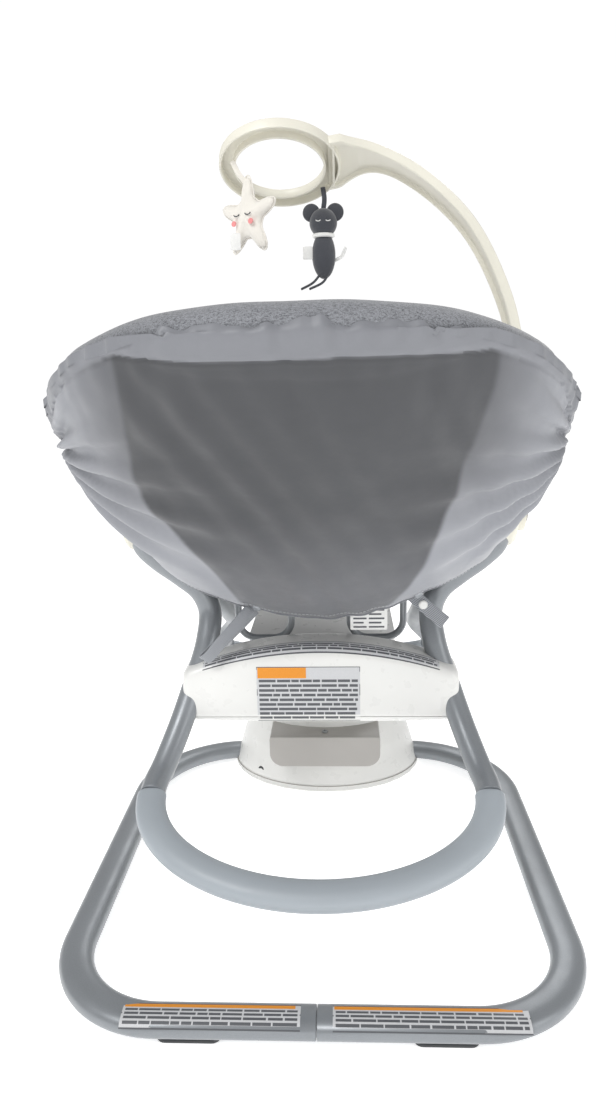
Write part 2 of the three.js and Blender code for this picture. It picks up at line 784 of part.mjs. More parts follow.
function buildCrossHousing() {
  const whole = standing(crossShape(crossHalfWidth, crossBottom, 0, crossCorner), crossFrontY, crossBackY, 3);
  const hollowShape = crossShape(crossHollow, crossBottom + crossWall, -crossWall, 1);
  const hollow = standing(hollowShape, crossFrontY + crossWall, crossBackY - crossWall, 2);
  const legs = leg(headLegRoute(-1), fitGap).add(leg(headLegRoute(1), fitGap));
  const shell = whole.subtract(hollow).subtract(legs);
  const big = 1000;
  const above = box(-big, big, -big, 0, crossSeam + fitGap / 2, big);
  const below = box(-big, big, -big, 0, 0, crossSeam - fitGap / 2);
  const midY = (crossFrontY + crossBackY) / 2;
  const buttonX = crossHollow - 24;
  const knobZ = crossSeam + 30;
  const knobMouth = v(buttonX, crossBackY + 5, knobZ);
  const knobHole = bar(v(buttonX, crossBackY - 12, knobZ), knobMouth, buttonRadius + fitGap);
  add(rocker, "cross_housing_upper", shell.intersect(above).subtract(knobHole), "white");

  const doorGap = fitGap;
  const recess = box(-doorHalfWidth - doorGap, doorHalfWidth + doorGap, midY - doorHalfDepth - doorGap,
    midY + doorHalfDepth + doorGap, crossBottom - 5, crossBottom + crossWall + 2);
  add(rocker, "cross_housing_lower", shell.intersect(below).subtract(recess), "white");
  add(rocker, "battery_door", box(-doorHalfWidth, doorHalfWidth, midY - doorHalfDepth, midY + doorHalfDepth,
    crossBottom, crossBottom + doorThick), "silver");

  const partZ = crossSeam + vibratorRadius + 8;
  const motorX = -crossHollow + 20;
  add(rocker, "vibration_motor", bar(v(motorX, midY, partZ), v(motorX + vibratorLength, midY, partZ),
    vibratorRadius, 18), "steel");
  add(rocker, "battery_cell", bar(v(-cellLength / 2, midY, partZ), v(cellLength / 2, midY, partZ),
    cellRadius, 18), "darkPlastic");
  const knobBack = crossBackY + buttonProud - buttonLength;
  add(rocker, "vibration_button", bar(v(buttonX, knobBack, knobZ), v(buttonX, crossBackY + buttonProud, knobZ),
    buttonRadius), "silver");
}

// ================================================================= seat
function rimHeight(y) {
  const head = rimMidY - rimHalfLength;
  const foot = rimMidY + rimHalfLength;
  const level = pivotZ + rimAbovePivot;
  const near = -rimHeadRise / (pivotY - head);
  const far = -rimFootDrop / (foot - pivotY);
  const bend = (far - near) / (foot - head);
  return level + near * (y - pivotY) + bend * (y - pivotY) * (y - head);
}

function rimPlan(angle, share = 1, inset = 0) {
  const c = Math.cos(angle);
  const s = Math.sin(angle);
  const across = Math.sign(c) * Math.abs(c) ** (2 / rimSquareness);
  const along = Math.sign(s) * Math.abs(s) ** (2 / rimSquareness);
  const x = (rimHalfWidth - rimTaper * along - inset) * across * share;
  const y = rimMidY + (rimHalfLength - inset) * along * share;
  return [x, y];
}

// A ring that follows the rim: profile points are [outwards, upwards] from the rim's middle.
function alongRim(profile, sides) {
  const size = 1000;
  const points = profile.map(([out, up]) => new THREE.Vector2(size + out, up));
  const geometry = new THREE.LatheGeometry(points, sides);
  const place = (x, up, z) => {
    const angle = Math.atan2(z, x);
    const out = Math.hypot(x, z) - size;
    const [px, py] = rimPlan(angle);
    const [ax, ay] = rimPlan(angle + 0.02);
    const [bx, by] = rimPlan(angle - 0.02);
    const length = Math.hypot(ax - bx, ay - by);
    return [px + (out * (ay - by)) / length, py - (out * (ax - bx)) / length, rimHeight(py) + up];
  };
  return solid(warped(geometry, place));
}

function circle(radius, from, to, steps) {
  return Array.from({ length: steps + 1 }, (_, i) => {
    const a = mix(from, to, i / steps) * deg;
    return [radius * Math.cos(a), radius * Math.sin(a)];
  });
}

// A bowl-shaped layer between two depths inside the sling's outer face.
function bowlDepthAt(y) {
  return bowlDepth + bowlBelly * Math.exp(-(((y - bellyY) / bellyLength) ** 2));
}

function bowlPoint(angle, share, depth) {
  const width = rimHalfWidth - slingInset;
  const [x, y] = rimPlan(angle, share * (1 - depth / width), slingInset);
  return [x, y, rimHeight(y) - (bowlDepthAt(y) - depth) * Math.sqrt(Math.max(0, 1 - share * share))];
}

function bowlLayer(outer, inner, edge, sides = 28) {
  const size = 1000;
  const shares = [0, 0.35, 0.6, 0.8, 0.93, 0.985].filter((share) => share <= edge);
  const outside = shares.map((share) => new THREE.Vector2(share * size, outer));
  const inside = shares.map((share) => new THREE.Vector2(share * size, inner)).reverse();
  const geometry = new THREE.LatheGeometry([...outside, ...inside], sides);
  return solid(warped(geometry, (x, depth, z) => bowlPoint(Math.atan2(z, x), Math.hypot(x, z) / size, depth)));
}

// Height of a layer of the bowl over a point of the plan.
function bowlHeight(x, y, depth) {
  const half = rimHalfLength - slingInset;
  const along = (y - rimMidY) / half;
  const width = rimHalfWidth - rimTaper * along - slingInset;
  const across = Math.abs(x) / width;
  const share = (Math.abs(along) ** rimSquareness + across ** rimSquareness) ** (1 / rimSquareness);
  const shrink = 1 - depth / (rimHalfWidth - slingInset);
  const inside = Math.max(0, 1 - (share / shrink) ** 2);
  return rimHeight(y) - (bowlDepthAt(y) - depth) * Math.sqrt(inside);
}

function bracketBody(side, grow = 0) {
  const rimX = rimPlan(0)[0] - 3;
  const rimZ = pivotZ + rimAbovePivot;
  const innerX = hubInnerX - runGap - bracketThick;
  const outerX = hubInnerX - runGap;
  const shape = new THREE.Shape();
  const outline = [[innerX - grow, pivotZ - 18 - grow], [outerX + grow, pivotZ - 18 - grow],
    [outerX + grow, rimZ - 34], [rimX - 1 + grow, rimZ - 11], [rimX - 11, rimZ - 1 + grow], [innerX - grow, rimZ - 22]];
  outline.forEach(([x, z], i) => (i === 0 ? shape.moveTo(side * x, z) : shape.lineTo(side * x, z)));
  const half = bracketWidth / 2 + grow;
  return standing(shape, pivotY - half, pivotY + half);
}

function buildSeat() {
  const tubeProfile = circle(rimTubeRadius, 0, 360, 6);
  const tube = alongRim(tubeProfile, rimSides);
  add(seat, "seat_rim_tube", tube, "steel");

  const tubeRoom = alongRim(circle(rimTubeRadius + 2 * fitGap, 0, 360, 6), rimSides);
  bothSides((name, side) => {
    const from = v(side * (hubInnerX - runGap - 2), pivotY, pivotZ);
    const axle = bar(from, v(side * (hubSeamX + 8), pivotY, pivotZ), axleRadius, 12);
    add(seat, `pivot_bracket_${name}`, bracketBody(side).subtract(tubeRoom).add(axle), "steel");
  });

  const padProfile = [...circle(rimPadRadius, -80, 205, 8), ...circle(rimTubeRadius + 1.6, 195, -70, 4)];
  padProfile.push(padProfile[0]);
  const brackets = bracketBody(-1, 1).add(bracketBody(1, 1));
  add(seat, "seat_rim_pad", alongRim(padProfile, rimSides).subtract(brackets), "heather");

  const cushionOuter = slingThick + cushionGap;
  const cushionInner = cushionOuter + cushionThick;
  add(seat, "seat_sling", bowlLayer(0, slingThick, 0.985), "nylon");
  add(seat, "seat_pad", bowlLayer(cushionOuter, cushionInner, 0.93), "cushion");

  bothSides((name, side) => {
    const top = (x) => Math.min(bowlHeight(x - bailRadius, bailY, 0), bowlHeight(x + bailRadius, bailY, 0)) - 1;
    const route = filleted([
      { at: v(side * bailInnerX, bailY, top(bailInnerX)) },
      { at: v(side * bailInnerX, bailY, bailBottom), radius: 22 },
      { at: v(side * bailOuterX, bailY, bailBottom), radius: 22 },
      { at: v(side * bailOuterX, bailY, top(bailOuterX)) },
    ], 18);
    add(seat, `recline_bail_${name}`, swept(route, ovalShape(2 * bailRadius, 2 * bailRadius, 8)), "steel");
  });
  buildHarness(cushionInner);
  buildPillow(cushionInner);
}

// A strap over the cushion: stops are [x, y, height above the cushion].
function strap(stops, cushion) {
  const lift = strapThick / 2 + strapLift;
  const route = smooth(stops.map(([x, y, up]) => v(x, y, bowlHeight(x, y, cushion) + lift + up)), 2);
  const [w, h] = [strapWidth / 2, strapThick / 2];
  const shape = new THREE.Shape([
    new THREE.Vector2(-w, -h), new THREE.Vector2(w, -h), new THREE.Vector2(w, h), new THREE.Vector2(-w, h)]);
  return swept(route, shape);
}

function buildHarness(cushion) {
  const buckleZ = bowlHeight(0, waistStrapY, cushion) + 26;
  const half = buckleWidth / 2;
  const halfLong = buckleLength / 2;
  const outline = roundedShape(-half, waistStrapY - halfLong, half, waistStrapY + halfLong, 16);
  add(seat, "harness_buckle", lying(outline, buckleZ, buckleZ + buckleThick, 4), "darkPlastic");
  bothSides((name, side) => {
    const stops = [[half + 3, 26], [70, 16], [105, 4], [135, 2]];
    const path = stops.map(([x, up]) => [side * x, waistStrapY, up]);
    add(seat, `harness_strap_${name}`, strap(path, cushion), "webbing");
  });
  const front = waistStrapY + buckleLength / 2 + 2;
  const path = [[0, front, 30], [0, front + 22, 20], [0, front + 44, 4], [0, front + 75, 2]];
  add(seat, "crotch_strap", strap(path, cushion), "webbing");
}

function buildPillow(cushion) {
  const y = rimMidY - rimHalfLength * 0.5;
  const ball = new THREE.SphereGeometry(1, 16, 8).rotateX(Math.PI / 2);
  const place = (x, py, z) => {
    const px = x * pillowWidth * 0.5;
    const qy = y + py * pillowLength * 0.5;
    return [px, qy, bowlHeight(px, qy, cushion) + 2 + pillowThick * (z + 1) * 0.5];
  };
  add(seat, "head_support", solid(warped(ball, place)), "cushion");
}

// ================================================================= toy arm
// Built upright round the pivot, then leaned towards the foot end as a group.
function buildToyArm() {
  const route = smooth([v(armX, 0, 0), v(armX + 2, 0, 110), v(armX - 1, 0, 213), v(armX - 16, 0, 290),
    v(207, 0, 394), v(130, 0, 466), v(75, 0, 489), v(ringX + ringInner + 5, 0, ringRise)]);
  const blade = new THREE.ExtrudeGeometry(ovalShape(2, armThick, 10, 3), {
    steps: route.points.length - 1,
    extrudePath: route,
    bevelEnabled: false,
  });
  const clamp = (share) => Math.min(1, Math.max(0, share));
  const flareStart = ringX + ringOuter + armFlareLength;
  const widen = (x, y, z) => {
    const flare = clamp((flareStart - x) / armFlareLength) ** 2;
    const width = mix(mix(armWidthLow, armWidthHigh, clamp(z / ringRise)), armFlareWidth, flare);
    const twist = ringTilt * flare * deg;
    const across = (y * width) / 2;
    return [x, across * Math.cos(twist), z - across * Math.sin(twist)];
  };
  const halfBand = ringBand / 2;
  const band = [[ringInner, -halfBand], [ringOuter, -halfBand], [ringOuter, halfBand], [ringInner, halfBand],
    [ringInner, -halfBand]];
  const ring = turned(band, 28).rotate([-ringTilt, 0, 0]).translate([ringX, 0, ringRise]);
  const half = armThick / 2;
  const boss = bar(v(armX - half, 0, 0), v(armX + half, 0, 0), armBossRadius, 16);
  const hole = bar(v(armX - 20, 0, 0), v(armX + 20, 0, 0), armPinRadius + fitGap, 12);
  const arm = joined([solid(warped(blade, widen)), ring, boss]).subtract(hole);
  add(toyArm, "toy_bar", arm, "ivory");
  toyArm.position.set(0, pivotY, pivotZ);
  toyArm.rotation.x = -armLean * deg;

  const outer = hubOuterX + armThick + 2 * fitGap;
  const pin = bar(v(hubOuterX - 7, pivotY, pivotZ), v(outer + 3, pivotY, pivotZ), armPinRadius, 12);
  const head = bar(v(outer, pivotY, pivotZ), v(outer + 4, pivotY, pivotZ), armPinRadius + 6, 16);
  add(rocker, "toy_bar_pin", pin.add(head), "silver");
}

// The height just under the ring at one depth of the plan, in the swing's frame.
function ringUnder(y) {
  const slope = (armLean + ringTilt) * deg;
  const centreY = pivotY + ringRise * Math.sin(armLean * deg);
  const centreZ = pivotZ + ringRise * Math.cos(armLean * deg);
  return centreZ - (y - centreY) * Math.tan(slope) - ringBand / 2 / Math.cos(slope) - toyGap;
}

function buildStar() {
  const [x, y] = [-90, -167];
  const shape = new THREE.Shape();
  const tips = 5;
  for (let i = 0; i < tips * 2; i += 1) {
    const radius = i % 2 ? starRadius * 0.5 : starRadius - 4;
    const a = (90 + (i * 180) / tips) * deg;
    const point = [radius * Math.cos(a), radius * Math.sin(a)];
    if (i === 0) {
      shape.moveTo(...point);
    } else {
      shape.lineTo(...point);
    }
  }
  const settings = { depth: 4, bevelThickness: starThick / 2 - 2, bevelSize: 4, bevelSegments: 2 };
  const body = new THREE.ExtrudeGeometry(shape, settings).translate(0, 0, -2).rotateX(Math.PI / 2);
  const top = ringUnder(y);
  const centreZ = top - starDrop;
  body.rotateZ(-40 * deg).translate(x, y, centreZ);
  const loop = bar(v(x, y, centreZ + starRadius - 10), v(x - 20, y, top - 1), 2.5, 8);
  add(toyArm, "plush_star", solid(body).add(loop), "plushWhite");
}

function ball(rx, ry, rz, x, y, z) {
  return solid(new THREE.SphereGeometry(1, 10, 6).rotateX(Math.PI / 2).scale(rx, ry, rz).translate(x, y, z));
}

function buildMouse() {
  const [x, y] = [10, -101];
  const top = ringUnder(y);
  const headZ = top - mouseDrop;
  const bodyZ = headZ - 44;
  const parts = [
    ball(20, 18, 20, x, y, headZ),
    ball(17, 15, 34, x, y, bodyZ),
    ball(13, 5, 13, x - 17, y, headZ + 14),
    ball(13, 5, 13, x + 17, y, headZ + 14),
    bar(v(x, y, headZ + 10), v(x, y, top - 1), 2.5, 8),
  ];
  add(toyArm, "plush_mouse", joined(parts), "plushSlate");
}

// The toys hang upright, so they undo the arm's lean.
function hangUpright() {
  toyArm.updateMatrix();
  const undo = toyArm.matrix.clone().invert();
  for (const mesh of toyArm.children.filter((child) => child.name.startsWith("plush"))) {
    mesh.applyMatrix4(undo);
  }
}

buildFloorFrame();
buildHousing();
buildControls();
buildDrive();
buildCarriage(buildTurret());
buildDock();
buildRockerFrame();
buildCrossHousing();
buildSeat();
buildToyArm();
buildStar();
buildMouse();
hangUpright();

rocker.add(seat, toyArm);
carriage.add(rocker);
turret.add(carriage);
swing.add(base, turret);

export default swing;
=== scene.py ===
import math

import bmesh
import bpy
import numpy as np
from mathutils import Matrix, Vector


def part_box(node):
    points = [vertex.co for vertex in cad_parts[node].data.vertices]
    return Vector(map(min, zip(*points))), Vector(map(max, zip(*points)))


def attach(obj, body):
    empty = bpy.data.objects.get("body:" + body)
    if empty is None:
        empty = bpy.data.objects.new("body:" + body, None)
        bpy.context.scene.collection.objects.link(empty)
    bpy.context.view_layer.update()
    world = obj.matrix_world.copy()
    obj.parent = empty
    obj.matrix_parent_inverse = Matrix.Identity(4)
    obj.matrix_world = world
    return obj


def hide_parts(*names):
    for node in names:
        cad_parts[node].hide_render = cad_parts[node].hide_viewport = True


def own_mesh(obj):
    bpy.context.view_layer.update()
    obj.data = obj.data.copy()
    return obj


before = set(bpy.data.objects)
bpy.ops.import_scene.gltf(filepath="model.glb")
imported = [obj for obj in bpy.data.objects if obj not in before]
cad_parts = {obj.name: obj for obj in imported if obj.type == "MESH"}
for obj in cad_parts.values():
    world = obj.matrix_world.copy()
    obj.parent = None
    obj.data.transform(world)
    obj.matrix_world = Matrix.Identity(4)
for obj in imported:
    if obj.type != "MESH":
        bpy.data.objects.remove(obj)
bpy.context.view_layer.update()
scene = bpy.context.scene
MM = 0.001  # the sizes below are in millimetres and every mesh is made in metres

# ---------------------------------------------------------------- camera
EYE = Vector((0.033, -1.314, 0.693))
AHEAD = Vector((-0.0441, 0.9739, -0.2226)).normalized()
UPWARD = Vector((0.01104, 0.22327, 0.97469))
LENS = 26.0


def make_camera():
    data = bpy.data.cameras.new("view")
    data.lens = LENS
    data.sensor_width = 36
    data.clip_start = 0.01
    camera = bpy.data.objects.new("view", data)
    scene.collection.objects.link(camera)
    side = AHEAD.cross(UPWARD).normalized()
    top = side.cross(AHEAD)
    turn = Matrix((side, top, -AHEAD)).transposed().to_4x4()
    camera.matrix_world = Matrix.Translation(EYE) @ turn
    scene.camera = camera


make_camera()

# ---------------------------------------------------------------- sizes
PIVOT_Y, PIVOT_Z = -240, 492
HUB_RADIUS = 44
HUB_INNER, HUB_SEAM, HUB_OUTER = 222, 240, 266
LEG_RADIUS = 16
WAIST = 154  # the legs' distance from the middle where they pass the cross housing
HEAD_GRIP, FOOT_GRIP = (213, -412, 166), (200, 150, 165)  # where the right legs enter their grips
FRAME_HALF, FRAME_FRONT = 311, -612
TUBE_WIDTH, TUBE_HEIGHT, TUBE_SQUARENESS = 40, 25, 2.4
HOUSING_BASE, HOUSING_DEPTH = 163, 120
SCREW_Y = -112
RIM_HALF_WIDTH, RIM_TAPER, RIM_HALF_LENGTH = 242, 52, 375
RIM_MIDDLE_Y, RIM_SQUARENESS = -265, 2.6
RIM_ABOVE_PIVOT, RIM_HEAD_RISE, RIM_FOOT_DROP = 78, 157, 65
ROLL = 23  # radius of the padded rim
SEAMS = (28, 63, 117, 152, 198, 226, 314, 342)  # in degrees round the rim
SKIRT = 34  # from the cover's edge down to its crease
HEM_Y = -294
COVER_OUTSET = 27.0  # how far the covers stand out from the rim's line
LINER_INSET, SLING_INSET = 15.0, 36.0
PUFF_FRAMES = 16
ARM_LEAN = math.radians(12)
RING_X, RING_RISE = -48, 482
RING_TILT = math.radians(12)  # more than the arm's lean
RING_INNER, RING_OUTER, RING_HALF = 61, 83, 7
ARM_HALF = 6.5
FLARE_WIDTH, FLARE_LENGTH = 96, 80
STAR_X, STAR_Y, STAR_DROP = -90, -167, 73
STAR_RADIUS, STAR_THICK, STAR_TURN = 54, 24, math.radians(-40)
MOUSE_X, MOUSE_Y, MOUSE_DROP = 10, -101, 42
CROSS_HALF, CROSS_FRONT, CROSS_BACK = 187, -322, -252
CROSS_LOW, CROSS_TOP, CROSS_END_DROP, CROSS_SEAM = 217, 331, 38, 229
CROSS_MIDDLE_Y, CROSS_HALF_Y = (CROSS_BACK + CROSS_FRONT) / 2, (CROSS_BACK - CROSS_FRONT) / 2
CROSS_END, CROSS_SIDES = 13.0, 56  # the rounded end's length and the points round a section
SIDES = ((-1, "left"), (1, "right"))


# ================================================================= materials
class Finish:
    """A node material with small helpers for noise, bump and colour."""

    def __init__(self, name):
        self.material = bpy.data.materials.new(name)
        self.material.use_nodes = True
        self.tree = self.material.node_tree
        self.shader = self.tree.nodes["Principled BSDF"]
        self.place = self.tree.nodes.new("ShaderNodeTexCoord").outputs["Object"]

    def set(self, **values):
        for key, value in values.items():
            self.shader.inputs[key.replace("_", " ")].default_value = value

    def node(self, kind, **values):
        made = self.tree.nodes.new(kind)
        for key, value in values.items():
            setattr(made, key, value)
        return made

    def link(self, out, into):
        self.tree.links.new(out, into)

    def noise(self, scale, detail=3.0, stretch=(1, 1, 1), rough=0.5):
        mapping = self.node("ShaderNodeMapping")
        mapping.inputs["Scale"].default_value = stretch
        self.link(self.place, mapping.inputs["Vector"])
        made = self.node("ShaderNodeTexNoise")
        made.inputs["Scale"].default_value = scale
        made.inputs["Detail"].default_value = detail
        made.inputs["Roughness"].default_value = rough
        self.link(mapping.outputs["Vector"], made.inputs["Vector"])
        return made.outputs["Fac"]

    def wave(self, scale, direction):
        made = self.node("ShaderNodeTexWave", bands_direction=direction)
        made.inputs["Scale"].default_value = scale
        made.inputs["Detail"].default_value = 0.0
        self.link(self.place, made.inputs["Vector"])
        return made.outputs["Fac"]

    def ramp(self, source, stops):
        made = self.node("ShaderNodeValToRGB")
        line = made.color_ramp
        while len(line.elements) < len(stops):
            line.elements.new(0.5)
        for element, (at, colour) in zip(line.elements, stops):
            element.position = at
            element.color = (*colour, 1)
        self.link(source, made.inputs["Fac"])
        return made.outputs["Color"]

    def levels(self, source, low, high, start=0.3, end=0.7):
        made = self.node("ShaderNodeMapRange")
        for key, value in zip(("From Min", "From Max", "To Min", "To Max"), (start, end, low, high)):
            made.inputs[key].default_value = value
        self.link(source, made.inputs["Value"])
        return made.outputs["Result"]

    def mix(self, share, a, b, blend="MIX"):
        made = self.node("ShaderNodeMix", data_type="RGBA", blend_type=blend)
        for value, into in ((share, made.inputs[0]), (a, made.inputs[6]), (b, made.inputs[7])):
            if isinstance(value, bpy.types.NodeSocket):
                self.link(value, into)
            elif isinstance(value, tuple):
                into.default_value = (*value, 1)
            else:
                into.default_value = value
        return made.outputs[2]

    def bump(self, height, strength, distance, below=None):
        made = self.node("ShaderNodeBump")
        made.inputs["Strength"].default_value = strength
        made.inputs["Distance"].default_value = distance
        self.link(height, made.inputs["Height"])
        if below:
            self.link(below, made.inputs["Normal"])
        self.link(made.outputs["Normal"], self.shader.inputs["Normal"])
        return made.outputs["Normal"]

    def colour(self, source):
        self.link(source, self.shader.inputs["Base Color"])

    def roughness(self, source):
        self.link(source, self.shader.inputs["Roughness"])


def tint(colour, by):
    return tuple(min(1, c * by) for c in colour)


def srgb(r, g, b):
    return tuple(((c / 255 + 0.055) / 1.055) ** 2.4 for c in (r, g, b))


def moulded(name, colour, rough, grain=0.25, coat=0.0):
    """Moulded plastic: a faint cloudiness, a fine grain and a soft gloss."""
    look = Finish(name)
    cloud = look.noise(9, 4)
    look.colour(look.ramp(cloud, [(0.3, tint(colour, 0.95)), (0.7, tint(colour, 1.03))]))
    look.roughness(look.levels(look.noise(60, 3), rough - 0.05, rough + 0.07))
    fine = look.bump(look.noise(1500, 2), grain, 0.00006)
    look.bump(look.noise(14, 2), 0.12, 0.0006, fine)
    look.set(Coat_Weight=coat, Coat_Roughness=0.25, Specular_IOR_Level=0.45)
    return look.material


def enamel(name, colour):
    """Sprayed enamel on tube: orange peel, slight metallic flake, rubbed highs."""
    look = Finish(name)
    flake = look.noise(900, 2)
    cloud = look.noise(6, 3)
    base = look.ramp(cloud, [(0.3, tint(colour, 0.94)), (0.7, tint(colour, 1.05))])
    look.colour(look.mix(look.levels(flake, 0, 0.25), base, tint(colour, 1.35)))
    look.roughness(look.levels(look.noise(40, 3), 0.34, 0.46))
    look.bump(look.noise(420, 2), 0.18, 0.00012)
    look.set(Metallic=0.35, Coat_Weight=0.25, Coat_Roughness=0.22)
    return look.material


def metal(name, colour, rough):
    look = Finish(name)
    streak = look.noise(120, 4, (1, 1, 14))
    look.colour(look.ramp(streak, [(0.3, tint(colour, 0.88)), (0.7, tint(colour, 1.06))]))
    look.roughness(look.levels(streak, rough - 0.06, rough + 0.1))
    look.bump(streak, 0.1, 0.00005)
    look.set(Metallic=1.0)
    return look.material


def heathered(name, dark, light):
    """A knitted melange: short light and dark fibres, fine ribs of stitches and a soft fuzz."""
    look = Finish(name)
    fibres = look.noise(1300, 3, (1, 0.3, 1), rough=0.65)
    across = look.noise(1100, 3, (0.3, 1, 0.6), rough=0.65)
    both = look.mix(0.5, fibres, across)
    fleck = look.ramp(both, [(0.36, dark), (0.5, tint(light, 0.74)), (0.64, light)])
    cloud = look.ramp(look.noise(7, 3), [(0.3, (0.90, 0.90, 0.90)), (0.7, (1, 1, 1))])
    look.colour(look.mix(1.0, fleck, cloud, "MULTIPLY"))
    knit = look.mix(0.5, look.wave(420, "X"), look.wave(380, "Y"))
    low = look.bump(knit, 0.5, 0.0003)
    look.bump(look.noise(900, 3), 0.4, 0.0003, low)
    look.set(Roughness=0.95, Sheen_Weight=0.35, Sheen_Roughness=0.5, Specular_IOR_Level=0.2)
    return look.material


def nylon_cloth(name, dark, light):
    """Thin woven nylon: a fine plain weave and a low silky gloss, with painted light and shade: paler where
    the painted light value is high.
    """
    look = Finish(name)
    # the painted light value stored on each point
    painted_light = look.node("ShaderNodeAttribute", attribute_name="painted_light").outputs["Fac"]
    body = look.mix(painted_light, dark, light)
    cloud = look.ramp(look.noise(5, 4), [(0.3, (0.92, 0.92, 0.92)), (0.7, (1, 1, 1))])
    look.colour(look.mix(1.0, body, cloud, "MULTIPLY"))
    weave = look.mix(0.5, look.wave(900, "X"), look.wave(900, "Z"))
    low = look.bump(weave, 0.25, 0.00008)
    look.bump(look.noise(55, 4, (1, 1, 0.4)), 0.3, 0.0012, low)
    look.roughness(look.levels(look.noise(30, 3), 0.42, 0.58))
    look.set(Sheen_Weight=0.2, Sheen_Roughness=0.4, Specular_IOR_Level=0.45)
    return look.material


def soft_cloth(name, colour, fuzz=0.5, scale=700):
    look = Finish(name)
    cloud = look.noise(12, 4)
    look.colour(look.ramp(cloud, [(0.3, tint(colour, 0.9)), (0.7, tint(colour, 1.05))]))
    low = look.bump(look.noise(scale, 3), fuzz, 0.0005)
    look.bump(look.noise(90, 3), 0.3, 0.0008, low)
    look.set(Roughness=0.95, Sheen_Weight=0.5, Sheen_Roughness=0.5, Specular_IOR_Level=0.2)
    return look.material


def webbing_cloth(name, dark, light):
    """Herringbone tape: two crossed sets of ribs."""
    look = Finish(name)
    ribs = look.wave(260, "DIAGONAL")
    look.colour(look.mix(look.levels(ribs, 0, 1, 0.35, 0.65), dark, light))
    low = look.bump(ribs, 0.6, 0.0004)
    look.bump(look.wave(900, "Z"), 0.3, 0.0002, low)
    look.set(Roughness=0.8, Sheen_Weight=0.3)
    return look.material


def printed(name, colour):
    look = Finish(name)
    grain = look.noise(800, 2)
    look.colour(look.ramp(grain, [(0.3, tint(colour, 0.93)), (0.7, colour)]))
    look.roughness(look.levels(look.noise(50, 2), 0.3, 0.42))
    look.bump(look.noise(30, 2), 0.05, 0.0002)
    look.set(Specular_IOR_Level=0.4)
    return look.material


LOOKS = {
    "tube_grey": enamel("tube_enamel", srgb(134, 138, 142)),
    "grip_grey": moulded("grip_plastic", srgb(163, 170, 176), 0.42, 0.3),
    "white_shell": moulded("white_shell_plastic", srgb(228, 228, 225), 0.3, 0.12, coat=0.25),
    "silver_plastic": moulded("silver_shroud_plastic", srgb(172, 169, 165), 0.38, 0.2),
    "ivory_plastic": moulded("ivory_arm_plastic", srgb(224, 221, 208), 0.38, 0.2),
    "rubber": moulded("foot_rubber", srgb(70, 72, 74), 0.8, 0.6),
    "steel": metal("drawn_steel", srgb(178, 181, 184), 0.3),
    "wire": enamel("bail_enamel", srgb(150, 154, 158)),
    "brass": metal("worm_brass", srgb(190, 160, 90), 0.3),
    "dark_plastic": moulded("dark_fitting_plastic", srgb(44, 46, 49), 0.45, 0.4),
    "board": moulded("board_mask", srgb(38, 92, 60), 0.4, 0.3),
    # the cover nylon's painted shade and painted lit colours, mixed by the painted light value
    "nylon": nylon_cloth("cover_nylon", srgb(54, 55, 58), srgb(150, 152, 158)),
    "nylon_light": soft_cloth("hem_nylon", srgb(120, 122, 127), 0.2),
    "heather": heathered("rim_heather", srgb(70, 72, 76), srgb(150, 152, 157)),
    "cushion": heathered("seat_cushion_knit", srgb(150, 152, 156), srgb(212, 213, 216)),
    "pillow": soft_cloth("pillow_plush", srgb(222, 221, 218), 0.8, 500),
    "webbing": webbing_cloth("strap_webbing", srgb(112, 115, 120), srgb(172, 175, 180)),
    "plush_white": soft_cloth("star_plush", srgb(226, 222, 214), 0.8, 500),
    "plush_slate": soft_cloth("mouse_plush", srgb(72, 74, 80), 0.7, 600),
    "label": printed("label_film", srgb(205, 206, 208)),
    "label_dark": printed("label_ink", srgb(92, 94, 98)),
    "label_band": printed("label_orange_band", srgb(232, 148, 40)),
    "blush": printed("blush_thread", srgb(236, 150, 150)),
    "thread": soft_cloth("seam_thread", srgb(52, 54, 58), 0.3),
    "pale_thread": soft_cloth("pale_seam_thread", srgb(186, 188, 192), 0.3),
    "tag": printed("tag_satin", srgb(238, 238, 236)),
}


# ================================================================= mesh makers
def piece(name, verts, faces, look, body, slot=None, replaces=(), sharp=35):
    """A mesh object from millimetre points, shaded smooth up to a given angle."""
    mesh = bpy.data.meshes.new(name)
    mesh.from_pydata((np.asarray(verts, float) * MM).tolist(), [], faces)
    obj = bpy.data.objects.new(name, mesh)
    scene.collection.objects.link(obj)
    return dress(obj, look, body, replaces, sharp)


def dress(obj, look, body, replaces=(), sharp=35):
    mesh = obj.data
    mesh.materials.clear()
    mesh.materials.append(LOOKS[look])
    mesh.polygons.foreach_set("use_smooth", [True] * len(mesh.polygons))
    mesh.set_sharp_from_angle(angle=math.radians(sharp))
    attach(obj, body)
    if replaces:
        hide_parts(*replaces)
    return obj


def outward(obj):
    """Merges doubles and turns every face out."""
    work = bmesh.new()
    work.from_mesh(obj.data)
    bmesh.ops.remove_doubles(work, verts=work.verts, dist=1e-6)
    bmesh.ops.recalc_face_normals(work, faces=work.faces)
    work.to_mesh(obj.data)
    work.free()
    return obj


def solid(name, shape, look, body, slot=None, replaces=(), sharp=35):
    """A closed piece from a shape of (points, faces), its faces turned out."""
    return outward(piece(name, *shape, look, body, slot, replaces, sharp))


def grid_faces(rows, columns, around=False, down=False):
    """Quads over a grid of rows by columns, closed along either direction if asked."""
    faces = []
    for i in range(rows if down else rows - 1):
        for j in range(columns if around else columns - 1):
            a, b = i * columns + j, i * columns + (j + 1) % columns
            c, d = ((i + 1) % rows) * columns + (j + 1) % columns, ((i + 1) % rows) * columns + j
            faces.append((a, b, c, d))
    return faces


def end_caps(n, total):
    """The first and the last ring of n points, closed."""
    return [tuple(range(n))[::-1], tuple(range(total - n, total))]


